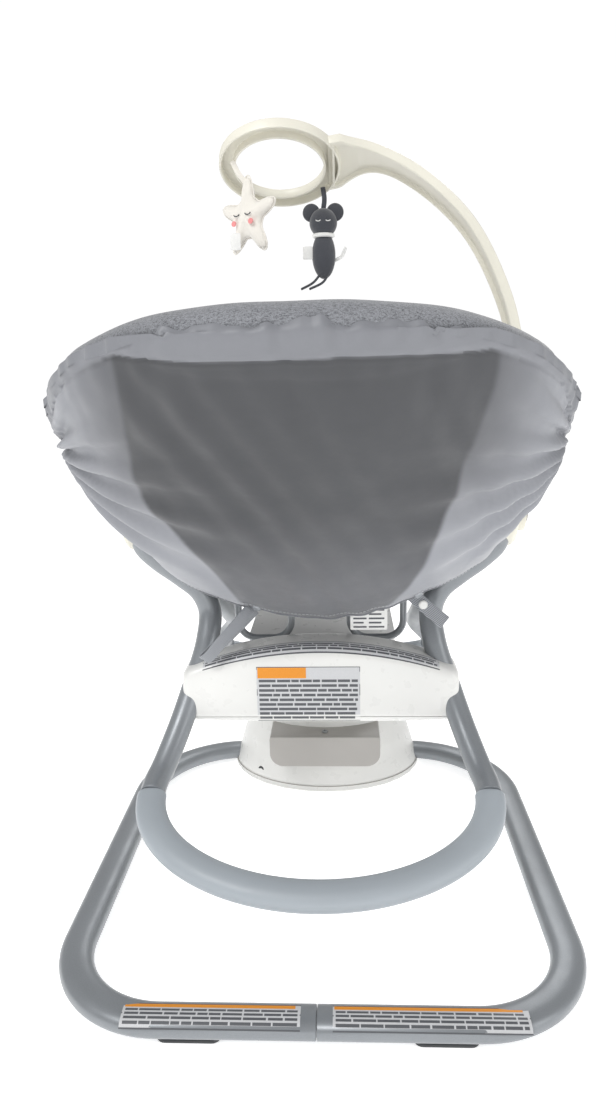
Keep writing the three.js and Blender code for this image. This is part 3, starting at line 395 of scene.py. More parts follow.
def doubled(outer, inner, rows, columns):
    """A thin closed skin between two grids of points."""
    n = rows * columns
    edge = ([j for j in range(columns)] + [i * columns + columns - 1 for i in range(1, rows)]
            + [(rows - 1) * columns + j for j in range(columns - 2, -1, -1)]
            + [i * columns for i in range(rows - 2, 0, -1)])
    faces = grid_faces(rows, columns)
    faces += [tuple(k + n for k in face[::-1]) for face in faces]
    faces += [(a, a + n, b + n, b) for a, b in zip(edge, edge[1:] + edge[:1])]
    return np.vstack([outer, inner]), faces


def unit(v):
    return v / np.maximum(np.linalg.norm(v, axis=-1, keepdims=True), 1e-12)


def tube_frames(path, up):
    """Tangent, normal and binormal along a path, carried without twist from the given up."""
    path = np.asarray(path, float)
    steps = unit(np.diff(path, axis=0))
    tangents = unit(np.vstack([steps[:1], steps[:-1] + steps[1:], steps[-1:]]))
    normal = np.asarray(up, float)
    normals = []
    for t in tangents:
        normal = unit(normal - (normal @ t) * t)
        normals.append(normal)
    normals = np.array(normals)
    return tangents, normals, np.cross(tangents, normals)


def sweep(path, section, up, scale=None, end=1.0):
    """Points and faces of a section drawn along a path, with softly rounded ends."""
    path, section = np.asarray(path, float), np.asarray(section, float)
    tangents, normals, sides = tube_frames(path, up)
    scale = np.ones((len(path), 2)) if scale is None else np.asarray(scale, float)
    reach = np.abs(section).max(0)
    last = len(path) - 1

    def ring(i, shrink, shift):
        wide, high = scale[i] * (1 - shrink / np.maximum(reach * scale[i], 1e-6))
        centre = path[i] + tangents[i] * shift
        return centre + np.outer(section[:, 0] * wide, normals[i]) + np.outer(section[:, 1] * high, sides[i])

    rings = [ring(0, end, 0), ring(0, end * 0.3, end * 0.3), ring(0, 0, end)]
    rings += [ring(i, 0, 0) for i in range(1, last)]
    rings += [ring(last, 0, -end), ring(last, end * 0.3, -end * 0.3), ring(last, end, 0)]
    verts, n = np.vstack(rings), len(section)
    return verts, grid_faces(len(rings), n, around=True) + end_caps(n, len(verts))


def oval(width, height, sides=32, squareness=2.0):
    a = (np.arange(sides) + 0.5) / sides * 2 * math.pi
    c, s = np.cos(a), np.sin(a)
    x = np.sign(c) * np.abs(c) ** (2 / squareness) * width / 2
    y = np.sign(s) * np.abs(s) ** (2 / squareness) * height / 2
    return np.column_stack([x, y])


def smooth_path(points, steps=8):
    """A centripetal Catmull-Rom run through the points."""
    p = np.asarray(points, float)
    p = np.vstack([2 * p[0] - p[1], p, 2 * p[-1] - p[-2]])
    out = []
    for i in range(1, len(p) - 2):
        gaps = [max(np.linalg.norm(p[i + k + 1] - p[i + k]) ** 0.5, 1e-4) for k in (-1, 0, 1)]
        d0, d1, d2 = gaps
        m1 = ((p[i] - p[i - 1]) / d0 - (p[i + 1] - p[i - 1]) / (d0 + d1) + (p[i + 1] - p[i]) / d1) * d1
        m2 = ((p[i + 1] - p[i]) / d1 - (p[i + 2] - p[i]) / (d1 + d2) + (p[i + 2] - p[i + 1]) / d2) * d1
        for t in np.arange(steps) / steps:
            h = np.array([2 * t**3 - 3 * t**2 + 1, t**3 - 2 * t**2 + t, -2 * t**3 + 3 * t**2, t**3 - t**2])
            out.append(h[0] * p[i] + h[1] * m1 + h[2] * p[i + 1] + h[3] * m2)
    out.append(p[-2])
    return np.array(out)


def filleted_path(corners, step=4.0):
    """Straight stretches joined by arcs: corners is a list of (point, radius)."""
    points = [np.asarray(corners[0][0], float)]
    for i in range(1, len(corners) - 1):
        at, radius = np.asarray(corners[i][0], float), corners[i][1]
        back = unit(np.asarray(corners[i - 1][0], float) - at)
        ahead = unit(np.asarray(corners[i + 1][0], float) - at)
        half = math.acos(float(back @ ahead)) / 2
        centre = at + unit(back + ahead) * radius / math.sin(half)
        start = at + back * radius / math.tan(half) - centre
        other = at + ahead * radius / math.tan(half) - centre
        sweep_angle = math.pi - 2 * half
        count = max(3, round(math.degrees(sweep_angle) / step))
        for k in range(count + 1):
            a = sweep_angle * k / count
            s = math.sin(sweep_angle)
            points.append(centre + start * math.sin(sweep_angle - a) / s + other * math.sin(a) / s)
    points.append(np.asarray(corners[-1][0], float))
    return np.array(points)


def turned(profile, sides=96, squash=(1, 1), axis="z"):
    """Points and faces of a closed [radius, height] profile turned round an axis."""
    profile = np.asarray(profile, float)
    a = np.arange(sides) / sides * 2 * math.pi
    x = np.outer(profile[:, 0], np.cos(a)) * squash[0]
    y = np.outer(profile[:, 0], np.sin(a)) * squash[1]
    z = np.repeat(profile[:, 1:], sides, 1)
    verts = np.dstack([x, y, z]).reshape(-1, 3)
    if axis == "x":
        verts = verts[:, [2, 0, 1]]
    return verts, grid_faces(len(profile), sides, around=True)


def rounded_profile(points, radius):
    """A closed-up profile whose inner corners are rounded by a small radius."""
    out = [points[0]]
    for back, at, ahead in zip(points[:-2], points[1:-1], points[2:]):
        back, at, ahead = (np.asarray(p, float) for p in (back, at, ahead))
        r = min(radius, np.linalg.norm(back - at) / 2.2, np.linalg.norm(ahead - at) / 2.2)
        a, b = at + unit(back - at) * r, at + unit(ahead - at) * r
        for t in np.linspace(0, 1, 5):
            out.append((1 - t) ** 2 * a + 2 * t * (1 - t) * at + t**2 * b)
    out.append(points[-1])
    return np.array([np.asarray(p, float) for p in out])


def slab(name, outline, low, high, look, body, axis="z", bevel=1.5, **more):
    """A plate with a rounded outline and soft edges; axis is the way that it is thick."""
    outline = np.asarray(outline, float)
    n = len(outline)
    centre = outline.mean(0)
    reach = np.abs(outline - centre).max(0)
    rows = []
    soft = 0.3 * bevel
    for depth, shrink in ((low, bevel), (low + soft, soft), (low + bevel, 0), (high - bevel, 0),
                          (high - soft, soft), (high, bevel)):
        level = centre + (outline - centre) * (1 - shrink / reach)
        rows.append(np.column_stack([level, np.full(n, depth)]))
    verts = np.vstack(rows)
    if axis == "y":
        verts = verts[:, [0, 2, 1]]
    if axis == "x":
        verts = verts[:, [2, 0, 1]]
    faces = grid_faces(len(rows), n, around=True) + end_caps(n, len(verts))
    return solid(name, (verts, faces), look, body, **more)


def rounded_box(x0, x1, y0, y1, radius):
    """The outline of a rectangle with rounded corners."""
    points = []
    for cx, cy, start in ((x1 - radius, y0 + radius, -90), (x1 - radius, y1 - radius, 0),
                          (x0 + radius, y1 - radius, 90), (x0 + radius, y0 + radius, 180)):
        for a in np.radians(np.linspace(start, start + 90, 7)):
            points.append((cx + radius * math.cos(a), cy + radius * math.sin(a)))
    return np.array(points)


def refined(node, look, body, bevel, segments=3):
    """A softened copy of a plain piece: merged, edges rounded, shaded by angle."""
    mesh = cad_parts[node].data.copy()
    obj = bpy.data.objects.new("fine_" + node, mesh)
    scene.collection.objects.link(obj)
    work = bmesh.new()
    work.from_mesh(mesh)
    bmesh.ops.remove_doubles(work, verts=work.verts, dist=2e-5)
    bmesh.ops.dissolve_limit(work, angle_limit=math.radians(1.5), verts=work.verts, edges=work.edges)
    work.to_mesh(mesh)
    work.free()
    rounding = obj.modifiers.new("rounding", "BEVEL")
    rounding.width = bevel * MM
    rounding.segments = segments
    rounding.limit_method = "ANGLE"
    rounding.angle_limit = math.radians(35)
    apply_modifiers(obj)
    return dress(obj, look, body, (node,), 30)


def apply_modifiers(obj):
    graph = bpy.context.evaluated_depsgraph_get()
    mesh = bpy.data.meshes.new_from_object(obj.evaluated_get(graph))
    obj.modifiers.clear()
    obj.data = mesh
    return obj


# ================================================================= repeats along a path
def stitch_tree():
    """Small capsules spaced along a line and turned to follow it."""
    tree = bpy.data.node_groups.new("stitch_run", "GeometryNodeTree")
    for name, kind, value in (
        ("Geometry", "NodeSocketGeometry", None),
        ("Spacing", "NodeSocketFloat", 0.004),
        ("Length", "NodeSocketFloat", 0.0026),
        ("Radius", "NodeSocketFloat", 0.0004),
        ("Thread", "NodeSocketMaterial", None),
    ):
        made = tree.interface.new_socket(name=name, in_out="INPUT", socket_type=kind)
        if value is not None:
            made.default_value = value
    tree.interface.new_socket(name="Geometry", in_out="OUTPUT", socket_type="NodeSocketGeometry")
    new, link = tree.nodes.new, tree.links.new
    given, result = new("NodeGroupInput"), new("NodeGroupOutput")
    to_curve, resample = new("GeometryNodeMeshToCurve"), new("GeometryNodeResampleCurve")
    resample.mode = "LENGTH"
    capsule = new("GeometryNodeMeshCylinder")
    capsule.inputs["Vertices"].default_value = 6
    spread, realize = new("GeometryNodeInstanceOnPoints"), new("GeometryNodeRealizeInstances")
    tangent, align = new("GeometryNodeInputTangent"), new("FunctionNodeAlignEulerToVector")
    align.axis = "Z"
    paint = new("GeometryNodeSetMaterial")
    link(given.outputs["Geometry"], to_curve.inputs["Mesh"])
    link(to_curve.outputs["Curve"], resample.inputs["Curve"])
    link(given.outputs["Spacing"], resample.inputs["Length"])
    link(given.outputs["Radius"], capsule.inputs["Radius"])
    link(given.outputs["Length"], capsule.inputs["Depth"])
    link(resample.outputs["Curve"], spread.inputs["Points"])
    link(capsule.outputs["Mesh"], spread.inputs["Instance"])
    link(tangent.outputs["Tangent"], align.inputs["Vector"])
    link(align.outputs["Rotation"], spread.inputs["Rotation"])
    link(spread.outputs["Instances"], realize.inputs["Geometry"])
    link(realize.outputs["Geometry"], paint.inputs["Geometry"])
    link(given.outputs["Thread"], paint.inputs["Material"])
    link(paint.outputs["Geometry"], result.inputs["Geometry"])
    return tree


STITCHES = stitch_tree()


def stitches(name, path, body, look, spacing, length, radius):
    """A run of stitches along a path."""
    path = np.asarray(path, float) * MM
    mesh = bpy.data.meshes.new(name)
    mesh.from_pydata(path.tolist(), [(i, i + 1) for i in range(len(path) - 1)], [])
    obj = bpy.data.objects.new(name, mesh)
    scene.collection.objects.link(obj)
    run = obj.modifiers.new("run", "NODES")
    run.node_group = STITCHES
    wanted = {"Spacing": spacing * MM, "Length": length * MM, "Radius": radius * MM, "Thread": LOOKS[look]}
    for item in STITCHES.interface.items_tree:
        if item.item_type == "SOCKET" and item.in_out == "INPUT" and item.name in wanted:
            run[item.identifier] = wanted[item.name]
    apply_modifiers(obj)
    return dress(obj, look, body)


# ================================================================= floor frame
def tube_middle():
    """The height of the floor tube's axis."""
    low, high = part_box("base_tube_left")
    return (low.z + high.z) / 2 / MM


def build_floor_frame():
    z = tube_middle()
    edge = FRAME_HALF - TUBE_WIDTH / 2
    section = oval(TUBE_HEIGHT, TUBE_WIDTH, 40, TUBE_SQUARENESS)
    for side, name in SIDES:
        corners = [((side * 0.4, FRAME_FRONT, z), 0), ((side * edge, FRAME_FRONT, z), 120),
                   ((side * edge, 0, z), 150), ((side * 131, 0, z), 0)]
        solid(f"floor_tube_{name}", sweep(filleted_path(corners), section, (0, 0, 1), end=0.7),
              "tube_grey", "base", "tube_grey", (f"base_tube_{name}",))
        for end in ("front", "rear"):
            refined(f"foot_pad_{end}_{name}", "rubber", "base", 0.8, 2)


def tube_top(x, across):
    """A point on the front rail's upper face: across is measured along Y from its middle."""
    fall = abs(across / (TUBE_WIDTH / 2)) ** TUBE_SQUARENESS
    rise = TUBE_HEIGHT / 2 * (1 - fall) ** (1 / TUBE_SQUARENESS)
    return (x, FRAME_FRONT + across, tube_middle() + rise)


def patch(name, surface, u_range, v_range, look, body, lift, steps=(24, 8)):
    """A thin film laid on a surface given by a function of two lengths."""
    columns, rows = steps
    us, vs = np.linspace(*u_range, columns), np.linspace(*v_range, rows)
    points = np.array([surface(u, v) for v in vs for u in us], float)
    grid = points.reshape(rows, columns, 3)
    du, dv = np.gradient(grid, axis=1), np.gradient(grid, axis=0)
    normal = unit(np.cross(du, dv)).reshape(-1, 3)
    return solid(name, doubled(points, points + normal * lift, rows, columns), look, body)


def label(name, surface, width, height, body, band, rows, seed, at):
    """A plain printed panel: pale film, thin dark frame, an orange band and rows of grey bars."""
    u0, v0 = at
    u1, v1 = u0 + width, v0 + height
    patch(f"{name}_film", surface, (u0, u1), (v0, v1), "label", body, 0.2)
    line = 0.8
    parts = [((u0, u1), (v0, v0 + line)), ((u0, u1), (v1 - line, v1)),
             ((u0, u0 + line), (v0, v1)), ((u1 - line, u1), (v0, v1))]
    draw = np.random.default_rng(seed)
    head = height * 0.2
    pitch = (height - head - 3) / rows
    for row in range(rows):
        top = v1 - head - 2 - row * pitch
        start = u0 + 3
        while start < u1 - 6:
            run = min(draw.uniform(9, 26), u1 - 3 - start)
            parts.append(((start, start + run), (top - pitch * 0.55, top)))
            start += run + draw.uniform(1.2, 2.2)
    bars = []
    for k, (u_range, v_range) in enumerate(parts):
        count = max(2, int(abs(u_range[1] - u_range[0]) / 8) + 2)
        bars.append(patch(f"{name}_ink_{k}", surface, u_range, v_range, "label_dark", body, 0.32, (count, 3)))
    join(bars, f"{name}_ink")
    band_run = (u0 + 1.5, u0 + band * width)
    patch(f"{name}_band", surface, band_run, (v1 - head, v1 - 1), "label_band", body, 0.36)


def join(objects, name):
    """Joins finished pieces of one look and body into one piece."""
    first = objects[0]
    work = bmesh.new()
    for obj in objects:
        work.from_mesh(obj.data)
    work.to_mesh(first.data)
    work.free()
    for obj in objects[1:]:
        bpy.data.objects.remove(obj)
    first.name = name
    first.data.name = name
    return first


def build_rail_labels():
    label("rail_label_left", tube_top, 190, 28, "base", band=0.97, rows=4, seed=2, at=(-207, -18.6))
    label("rail_label_right", tube_top, 205, 28, "base", band=0.97, rows=4, seed=3, at=(17, -18.6))


# ================================================================= motor housing
HOUSING = [(104, 138), (112, 135), (118, 128), (128, 105), (145.1, 65), (157.9, 20), (HOUSING_BASE, 4)]


def build_housing():
    squash = (1, HOUSING_DEPTH / HOUSING_BASE)
    outer = [(70, 138), *HOUSING, (163, 4), (159, 4), (154, 20), (141, 62), (124, 102), (110, 130), (70, 134)]
    cone = turned(rounded_profile([*outer, outer[0]], 5), 128, squash)
    solid("housing_cone", cone, "white_shell", "base", "white_shell", ("base_housing",))
    # a fine parting line round the cone
    line = [(162.8, 9.4), (162.8, 10.2), (159.4, 10.2), (159.4, 9.4), (162.8, 9.4)]
    solid("housing_parting_line", turned(line, 96, squash), "silver_plastic", "base")
    refined("base_bottom_cover", "white_shell", "base", 0.8)
    shroud = refined("arm_shroud", "silver_plastic", "base", 5.0, 5)
    shroud.data.set_sharp_from_angle(angle=math.radians(50))
    refined("control_panel", "silver_plastic", "base", 1.5)
    for key in ("power", "speed", "music"):
        refined(f"{key}_button", "white_shell", f"{key}_key", 0.8)
    screw = [(0, 108), (3.6, 108), (5, 107.2), (5, 105.4), (0, 105.4)]
    verts, faces = turned(rounded_profile(screw, 0.5), 32)
    solid("shroud_screw_head", (verts + (0, SCREW_Y, 0), faces), "steel", "base", "steel", ("shroud_screw",))
    for k, (a, b) in enumerate(((3.2, 0.5), (0.5, 3.2))):
        slab(f"screw_slot_{k}", rounded_box(-a, a, SCREW_Y - b, SCREW_Y + b, 0.4), 107.6, 108.12,
             "dark_plastic", "base", bevel=0.1)
    refined("power_socket", "dark_plastic", "base", 0.4, 2)


def build_turret_and_dock():
    for node, look, body, bevel, segments in (
        ("turret_plate", "silver_plastic", "turret", 1.0, 3),
        ("glide_carriage", "silver_plastic", "carriage", 1.5, 3),
        ("dock_cradle", "white_shell", "carriage", 2.0, 3),
        ("dock_release_lever", "silver_plastic", "release", 1.5, 3),
        ("dock_shoe", "white_shell", "rocker", 3.0, 4),
    ):
        refined(node, look, body, bevel, segments)


# ================================================================= rocker frame
def blend(a, b, share):
    return a + (b - a) * share


def head_leg_path(side):
    y, grip_x, grip_z = PIVOT_Y - 22, HEAD_GRIP[0], HEAD_GRIP[2]
    points = [(HUB_SEAM, y, PIVOT_Z - 14), (HUB_SEAM, y, PIVOT_Z - 34)]
    for share, drop in ((0.21, 54), (0.58, 78), (0.87, 100), (1, 128)):
        points.append((blend(HUB_SEAM, WAIST, share), y, PIVOT_Z - drop))
    points += [(WAIST + 3, CROSS_MIDDLE_Y + 7, CROSS_TOP - 9),
               (WAIST + 22, CROSS_MIDDLE_Y - 15, blend(CROSS_LOW, CROSS_TOP, 0.4)),
               (190, CROSS_FRONT - 8, CROSS_LOW + 5), (206, -372, 183),
               (grip_x - 1, -394, grip_z + 18 * 46 / 135), HEAD_GRIP]
    return smooth_path([(side * x, py, z) for x, py, z in points], 7)


def foot_leg_path(side):
    y = PIVOT_Y + 22
    grip_x, grip_y, grip_z = FOOT_GRIP
    points = [(HUB_SEAM, y, PIVOT_Z - 14), (HUB_SEAM, y, PIVOT_Z - 34), (HUB_SEAM - 20, y + 24, PIVOT_Z - 70),
              (blend(HUB_SEAM, WAIST, 0.75), y + 108, PIVOT_Z - 142),
              (WAIST + 6, blend(PIVOT_Y, grip_y, 0.56), blend(PIVOT_Z, grip_z, 0.64)),
              (blend(WAIST, grip_x, 0.25), grip_y - 80, grip_z + 70),
              (blend(WAIST, grip_x, 0.8), grip_y - 38, grip_z + 32),
              (grip_x - 1, grip_y - 16, grip_z + 16 * 40 / 58), FOOT_GRIP]
    return smooth_path([(side * x, py, z) for x, py, z in points], 7)


def grip_path(half, y, z, reach, drop, squareness):
    """A half oval from one leg's end to the other's, falling as it goes out."""
    a = np.linspace(0, math.pi, 73)
    c, s = np.cos(a), np.sin(a)
    across = np.sign(c) * np.abs(c) ** (2 / squareness)
    away = np.maximum(s, 0) ** (2 / squareness)
    path = np.column_stack([half * across, y + reach * away, z - drop * away])
    shift = 0.6 * np.array([0, math.copysign(1, reach), -drop / abs(reach)])
    path[0] += shift
    path[-1] += shift
    return path


def build_rocker_frame():
    circle = oval(2 * LEG_RADIUS, 2 * LEG_RADIUS, 36)
    for side, name in SIDES:
        for kind, path in (("head", head_leg_path(side)), ("foot", foot_leg_path(side))):
            solid(f"{kind}_tube_{name}", sweep(path, circle, (1, 0, 0)), "tube_grey", "rocker", "tube_grey",
                  (f"{kind}_leg_{name}",))
    for kind, path, lean in (("head", grip_path(*HEAD_GRIP, -135, 46, 2.0), math.sin(0.33)),
                             ("foot", grip_path(*FOOT_GRIP, 58, 40, 2.4), -math.sin(0.6))):
        count = np.arange(len(path))
        swell = 0.97 + 0.03 * np.clip(np.minimum(count, count[::-1]) / 6.0, 0, 1)
        grip = sweep(path, oval(28, 38, 40, 2.2), (0, lean, math.cos(0.33)), np.column_stack([swell, swell]),
                     end=1.4)
        solid(f"{kind}_grip_loop", grip, "grip_grey", "rocker", "grip_grey", (f"{kind}_loop_grip",))


def build_hubs():
    r = HUB_RADIUS
    inner = rounded_profile([(0, HUB_INNER), (r - 9, HUB_INNER), (r - 2, HUB_INNER + 6),
                             (r - 2, HUB_SEAM - 0.4), (0, HUB_SEAM - 0.4)], 2)
    cap = rounded_profile([(0, HUB_SEAM + 0.4), (r, HUB_SEAM + 0.4), (r, HUB_OUTER - 5), (r - 5, HUB_OUTER),
                           (r - 14, HUB_OUTER), (r - 15, HUB_OUTER - 1), (0, HUB_OUTER - 1)], 2.5)
    for side, name in SIDES:
        for kind, profile, node in (("ring", inner, "hub_housing"), ("cap", cap, "hub_cap")):
            verts, faces = turned(profile, 72, axis="x")
            verts = verts * (side, 1, 1) + (0, PIVOT_Y, PIVOT_Z)
            solid(f"hub_{kind}_{name}", (verts, faces), "ivory_plastic", "rocker", "ivory_plastic",
                  (f"{node}_{name}",))
        refined(f"pivot_bracket_{name}", "steel", "seat", 0.8, 2)
    refined("toy_bar_pin", "silver_plastic", "rocker", 0.8)


# ================================================================= cross housing
def cross_top(x):
    return CROSS_TOP - CROSS_END_DROP * (x / CROSS_HALF) ** 2


def cross_section(x):
    """Outline in Y and Z at one X: a soft front edge and a top that slopes back."""
    over = max(0.0, abs(x) - (CROSS_HALF - CROSS_END)) / CROSS_END
    shrink = (1 - over**2.4) ** (1 / 2.4) if over < 1 else 0.0
    top, low = cross_top(x), CROSS_LOW + 5 * (abs(x) / CROSS_HALF) ** 4
    half_z = (top - low) / 2
    a = np.arange(CROSS_SIDES) / CROSS_SIDES * 2 * math.pi
    c, s = np.cos(a), np.sin(a)
    y = np.sign(c) * np.abs(c) ** (2 / 5.0)
    z = np.sign(s) * np.abs(s) ** (2 / 5.0)
    ys = CROSS_MIDDLE_Y + y * CROSS_HALF_Y * (0.68 + 0.32 * shrink)
    zs = (top + low) / 2 + z * half_z * (0.8 + 0.2 * shrink)
    return np.column_stack([np.full(CROSS_SIDES, x), ys, zs])


def build_cross_housing():
    straight = CROSS_HALF - CROSS_END
    middle = np.linspace(-straight, straight, 61)
    ends = straight + CROSS_END * np.sin(np.linspace(0, math.pi / 2, 12))[1:]
    xs = np.concatenate([-ends[::-1], middle, ends])
    verts = np.vstack([cross_section(x) for x in xs])
    faces = grid_faces(len(xs), CROSS_SIDES, around=True) + end_caps(CROSS_SIDES, len(verts))
    for kind, keep_above in (("upper", True), ("lower", False)):
        obj = solid(f"cross_{kind}_shell", (verts, faces), "white_shell", "rocker", "white_shell",
                    (f"cross_housing_{kind}",))
        work = bmesh.new()
        work.from_mesh(obj.data)
        shift = 0.5 if keep_above else -0.5
        bmesh.ops.bisect_plane(work, geom=work.verts[:] + work.edges[:] + work.faces[:],
                               plane_co=(0, 0, (CROSS_SEAM + shift) * MM), plane_no=(0, 0, 1),
                               clear_outer=not keep_above, clear_inner=keep_above)
        bmesh.ops.holes_fill(work, edges=[e for e in work.edges if e.is_boundary])
        bmesh.ops.recalc_face_normals(work, faces=work.faces)
        work.to_mesh(obj.data)
        work.free()
        obj.data.set_sharp_from_angle(angle=math.radians(40))
    refined("battery_door", "silver_plastic", "rocker", 0.6, 2)
    refined("vibration_button", "silver_plastic", "vibration_key", 0.8)

    def front(u, v):
        half = (cross_top(u) - CROSS_LOW) / 2
        z = min(0.999, abs(v - CROSS_LOW - half) / half)
        return (u, CROSS_MIDDLE_Y - CROSS_HALF_Y * (1 - z**5) ** 0.2, v)

    def crown(u, v):
        half = (cross_top(u) - CROSS_LOW) / 2
        share = min(0.999, abs(v) / CROSS_HALF_Y)
        return (u, CROSS_MIDDLE_Y + v, CROSS_LOW + half + half * (1 - share**5) ** 0.2)

    label("cross_label", front, 139, 80, "rocker", band=0.48, rows=9, seed=5, at=(-85, 222))
    label("crown_label", crown, 318, 17, "rocker", band=0.05, rows=3, seed=7, at=(-158, -32))


def build_bails():
    inner, outer, y, low = 42, 118, -232, 312
    for side, name in SIDES:
        corners = [((side * inner, y, 382), 0), ((side * inner, y, low), 26),
                   ((side * outer, y, low), 26), ((side * outer, y, 413), 0)]
        wire = sweep(filleted_path(corners, 6), oval(10, 10, 20), (0, 1, 0), end=0.6)
        solid(f"wire_bail_{name}", wire, "wire", "seat", "steel", (f"recline_bail_{name}",))


# ================================================================= seat shape
def rim_plan(angle, inset=0.0):
    """X and Y of the rim's line at an angle round it."""
    c, s = np.cos(angle), np.sin(angle)
    across = np.sign(c) * np.abs(c) ** (2 / RIM_SQUARENESS)
    along = np.sign(s) * np.abs(s) ** (2 / RIM_SQUARENESS)
    half_width = RIM_HALF_WIDTH - RIM_TAPER * along - inset
    return half_width * across, RIM_MIDDLE_Y + (RIM_HALF_LENGTH - inset) * along


def rim_height(y):
    head, foot = RIM_MIDDLE_Y - RIM_HALF_LENGTH, RIM_MIDDLE_Y + RIM_HALF_LENGTH
    near, far = -RIM_HEAD_RISE / (PIVOT_Y - head), -RIM_FOOT_DROP / (foot - PIVOT_Y)
    curve = (far - near) / (foot - head)
    return PIVOT_Z + RIM_ABOVE_PIVOT + near * (y - PIVOT_Y) + curve * (y - PIVOT_Y) * (y - head)


def rim_share(x, y, inset=0.0):
    """How far out a point of the plan is: 0 on the seat's middle, 1 on the rim."""
    along = (y - RIM_MIDDLE_Y) / (RIM_HALF_LENGTH - inset)
    wide = RIM_HALF_WIDTH - RIM_TAPER * np.clip(along, -1, 1) - inset
    return (np.abs(x / wide) ** RIM_SQUARENESS + np.abs(along) ** RIM_SQUARENESS) ** (1 / RIM_SQUARENESS)


def bowl_depth(y):
    return 76 + 112 * np.exp(-(((y + 300) / 200) ** 2))


def bowl(x, y, depth, inset=SLING_INSET):
    """Height of the seat's hollow over a point of the plan, a given depth in from the sling."""
    share = np.clip(rim_share(x, y, inset), 0, 0.999)
    return rim_height(y) - (bowl_depth(y) - depth) * np.sqrt(1 - share**2)


def waves(x, seed, count=6, low=1.0, high=6.0):
    """A smooth wandering line between -1 and 1, made of a few sines."""
    draw = np.random.default_rng(seed)
    total = np.zeros_like(x, dtype=float)
    for _ in range(count):
        total += draw.uniform(0.4, 1) * np.sin(draw.uniform(low, high) * x + draw.uniform(0, 6.28))
    return total / (0.7 * count**0.5 * 1.2)


def store_painted_light(obj, values):
    # stores the painted light value on each point
    layer = obj.data.attributes.new("painted_light", "FLOAT", "POINT")
    layer.data.foreach_set("value", np.asarray(values, np.float32))


def smoothstep(x, a, b):
    t = np.clip((x - a) / (b - a), 0, 1)
    return t * t * (3 - 2 * t)


def build_rim():
    """The padded roll round the rim, with seams across it and soft puckers between them."""
    count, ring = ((480, 24))
    angle = np.linspace(0, 2 * math.pi, count, endpoint=False)
    x, y = rim_plan(angle)
    path = np.column_stack([x, y, rim_height(y)])
    ahead = unit(np.roll(path, -1, 0) - np.roll(path, 1, 0))
    out = unit(np.column_stack([ahead[:, 1], -ahead[:, 0], np.zeros(count)]))
    up = unit(np.cross(out, ahead))
    up *= np.sign(up[:, 2:])
    turn = (np.arange(ring) + 0.5) / ring * 2 * math.pi
    length = np.concatenate([[0], np.cumsum(np.linalg.norm(np.diff(path, axis=0), axis=1))])
    seam = np.zeros(count)
    for at in SEAMS:
        gap = np.abs((np.degrees(angle) - at + 180) % 360 - 180)
        seam = np.maximum(seam, np.exp(-((gap / 0.9) ** 2)))
    verts = []
    for a in turn:
        fold = 0.8 * waves(length / 26 + 0.7 * math.sin(a), 11, 5, 0.8, 3.2)
        under = max(0.0, -math.sin(a)) * 1.2 * np.sin(length / 3.1 + 2 * waves(length / 40, 5))
        radius = (ROLL - 1.2 + fold + under - 3.2 * seam)[:, None]
        tall = 0.87 if math.sin(a) > 0 else 1.12
        verts.append(path + out * (math.cos(a) * radius) + up * (math.sin(a) * radius * tall))
    points = np.stack(verts, 1).reshape(-1, 3)
    roll = solid("rim_roll", (points, grid_faces(count, ring, True, True)), "heather", "seat", "heather",
                 ("seat_rim_pad",), sharp=60)
    for n, at in enumerate(SEAMS):
        i = round(at / 360 * count) % count
        circle = [path[i] + out[i] * math.cos(a) * (ROLL - 3.8) + up[i] * math.sin(a) * (ROLL - 4) * 0.87
                  for a in np.linspace(0.2, math.pi - 0.2, 20)]
        stitches(f"rim_seam_{n}", circle, "seat", "thread", 3.0, 2.6, 0.8)


def cover_points(half, columns, rows):
    """The nylon skin under one half of the seat: columns run from the roll's outside to the hem."""
    edge = HEM_Y if half < 0 else HEM_Y + 6
    start = abs((edge - RIM_MIDDLE_Y) / RIM_HALF_LENGTH) ** (RIM_SQUARENESS / 2)
    start = math.asin(start) if half < 0 else -math.asin(start)
    if half < 0:
        angle = np.linspace(math.pi + start, 2 * math.pi - start, columns)
    else:
        angle = np.linspace(start, math.pi - start, columns)
    px, py = rim_plan(angle)
    rx, ry = rim_plan(angle, -COVER_OUTSET)
    ry = np.minimum(ry, edge) if half < 0 else np.maximum(ry, edge)
    wrap = []
    for degrees, reach in ((2, 0.80), (-4, 0.93), (-9, 0.99)):
        a = math.radians(degrees)
        share = math.cos(a) * reach
        wrap_z = rim_height(py) + COVER_OUTSET * math.sin(a)
        wrap.append((px + (rx - px) * share, py + (ry - py) * share, wrap_z))
    t = np.linspace(0, 1, rows - len(wrap))[:, None] ** 1.9
    across = np.cos(np.linspace(0, math.pi, columns))
    hem_x = rx[0] * across
    # the hem curves away from the legs on both sides
    curve = 24 * np.abs(across) ** 1.2 * (1 - np.abs(across) ** 6) if half < 0 else 0 * across
    x = rx * (1 - t) + hem_x * t
    y = ry * (1 - t) + (edge - curve) * t
    share = np.clip(rim_share(x, y, -COVER_OUTSET), 0, 1)
    round_off = (1 - share**2.05) ** (1 / 2.05)
    z = rim_height(np.clip(y, -640, 110)) - 6 - (bowl_depth(y) + 32) * round_off
    x = np.vstack([w[0] for w in wrap] + [x])
    y = np.vstack([w[1] for w in wrap] + [y])
    z = np.vstack([w[2] for w in wrap] + [z])
    return x, y, z


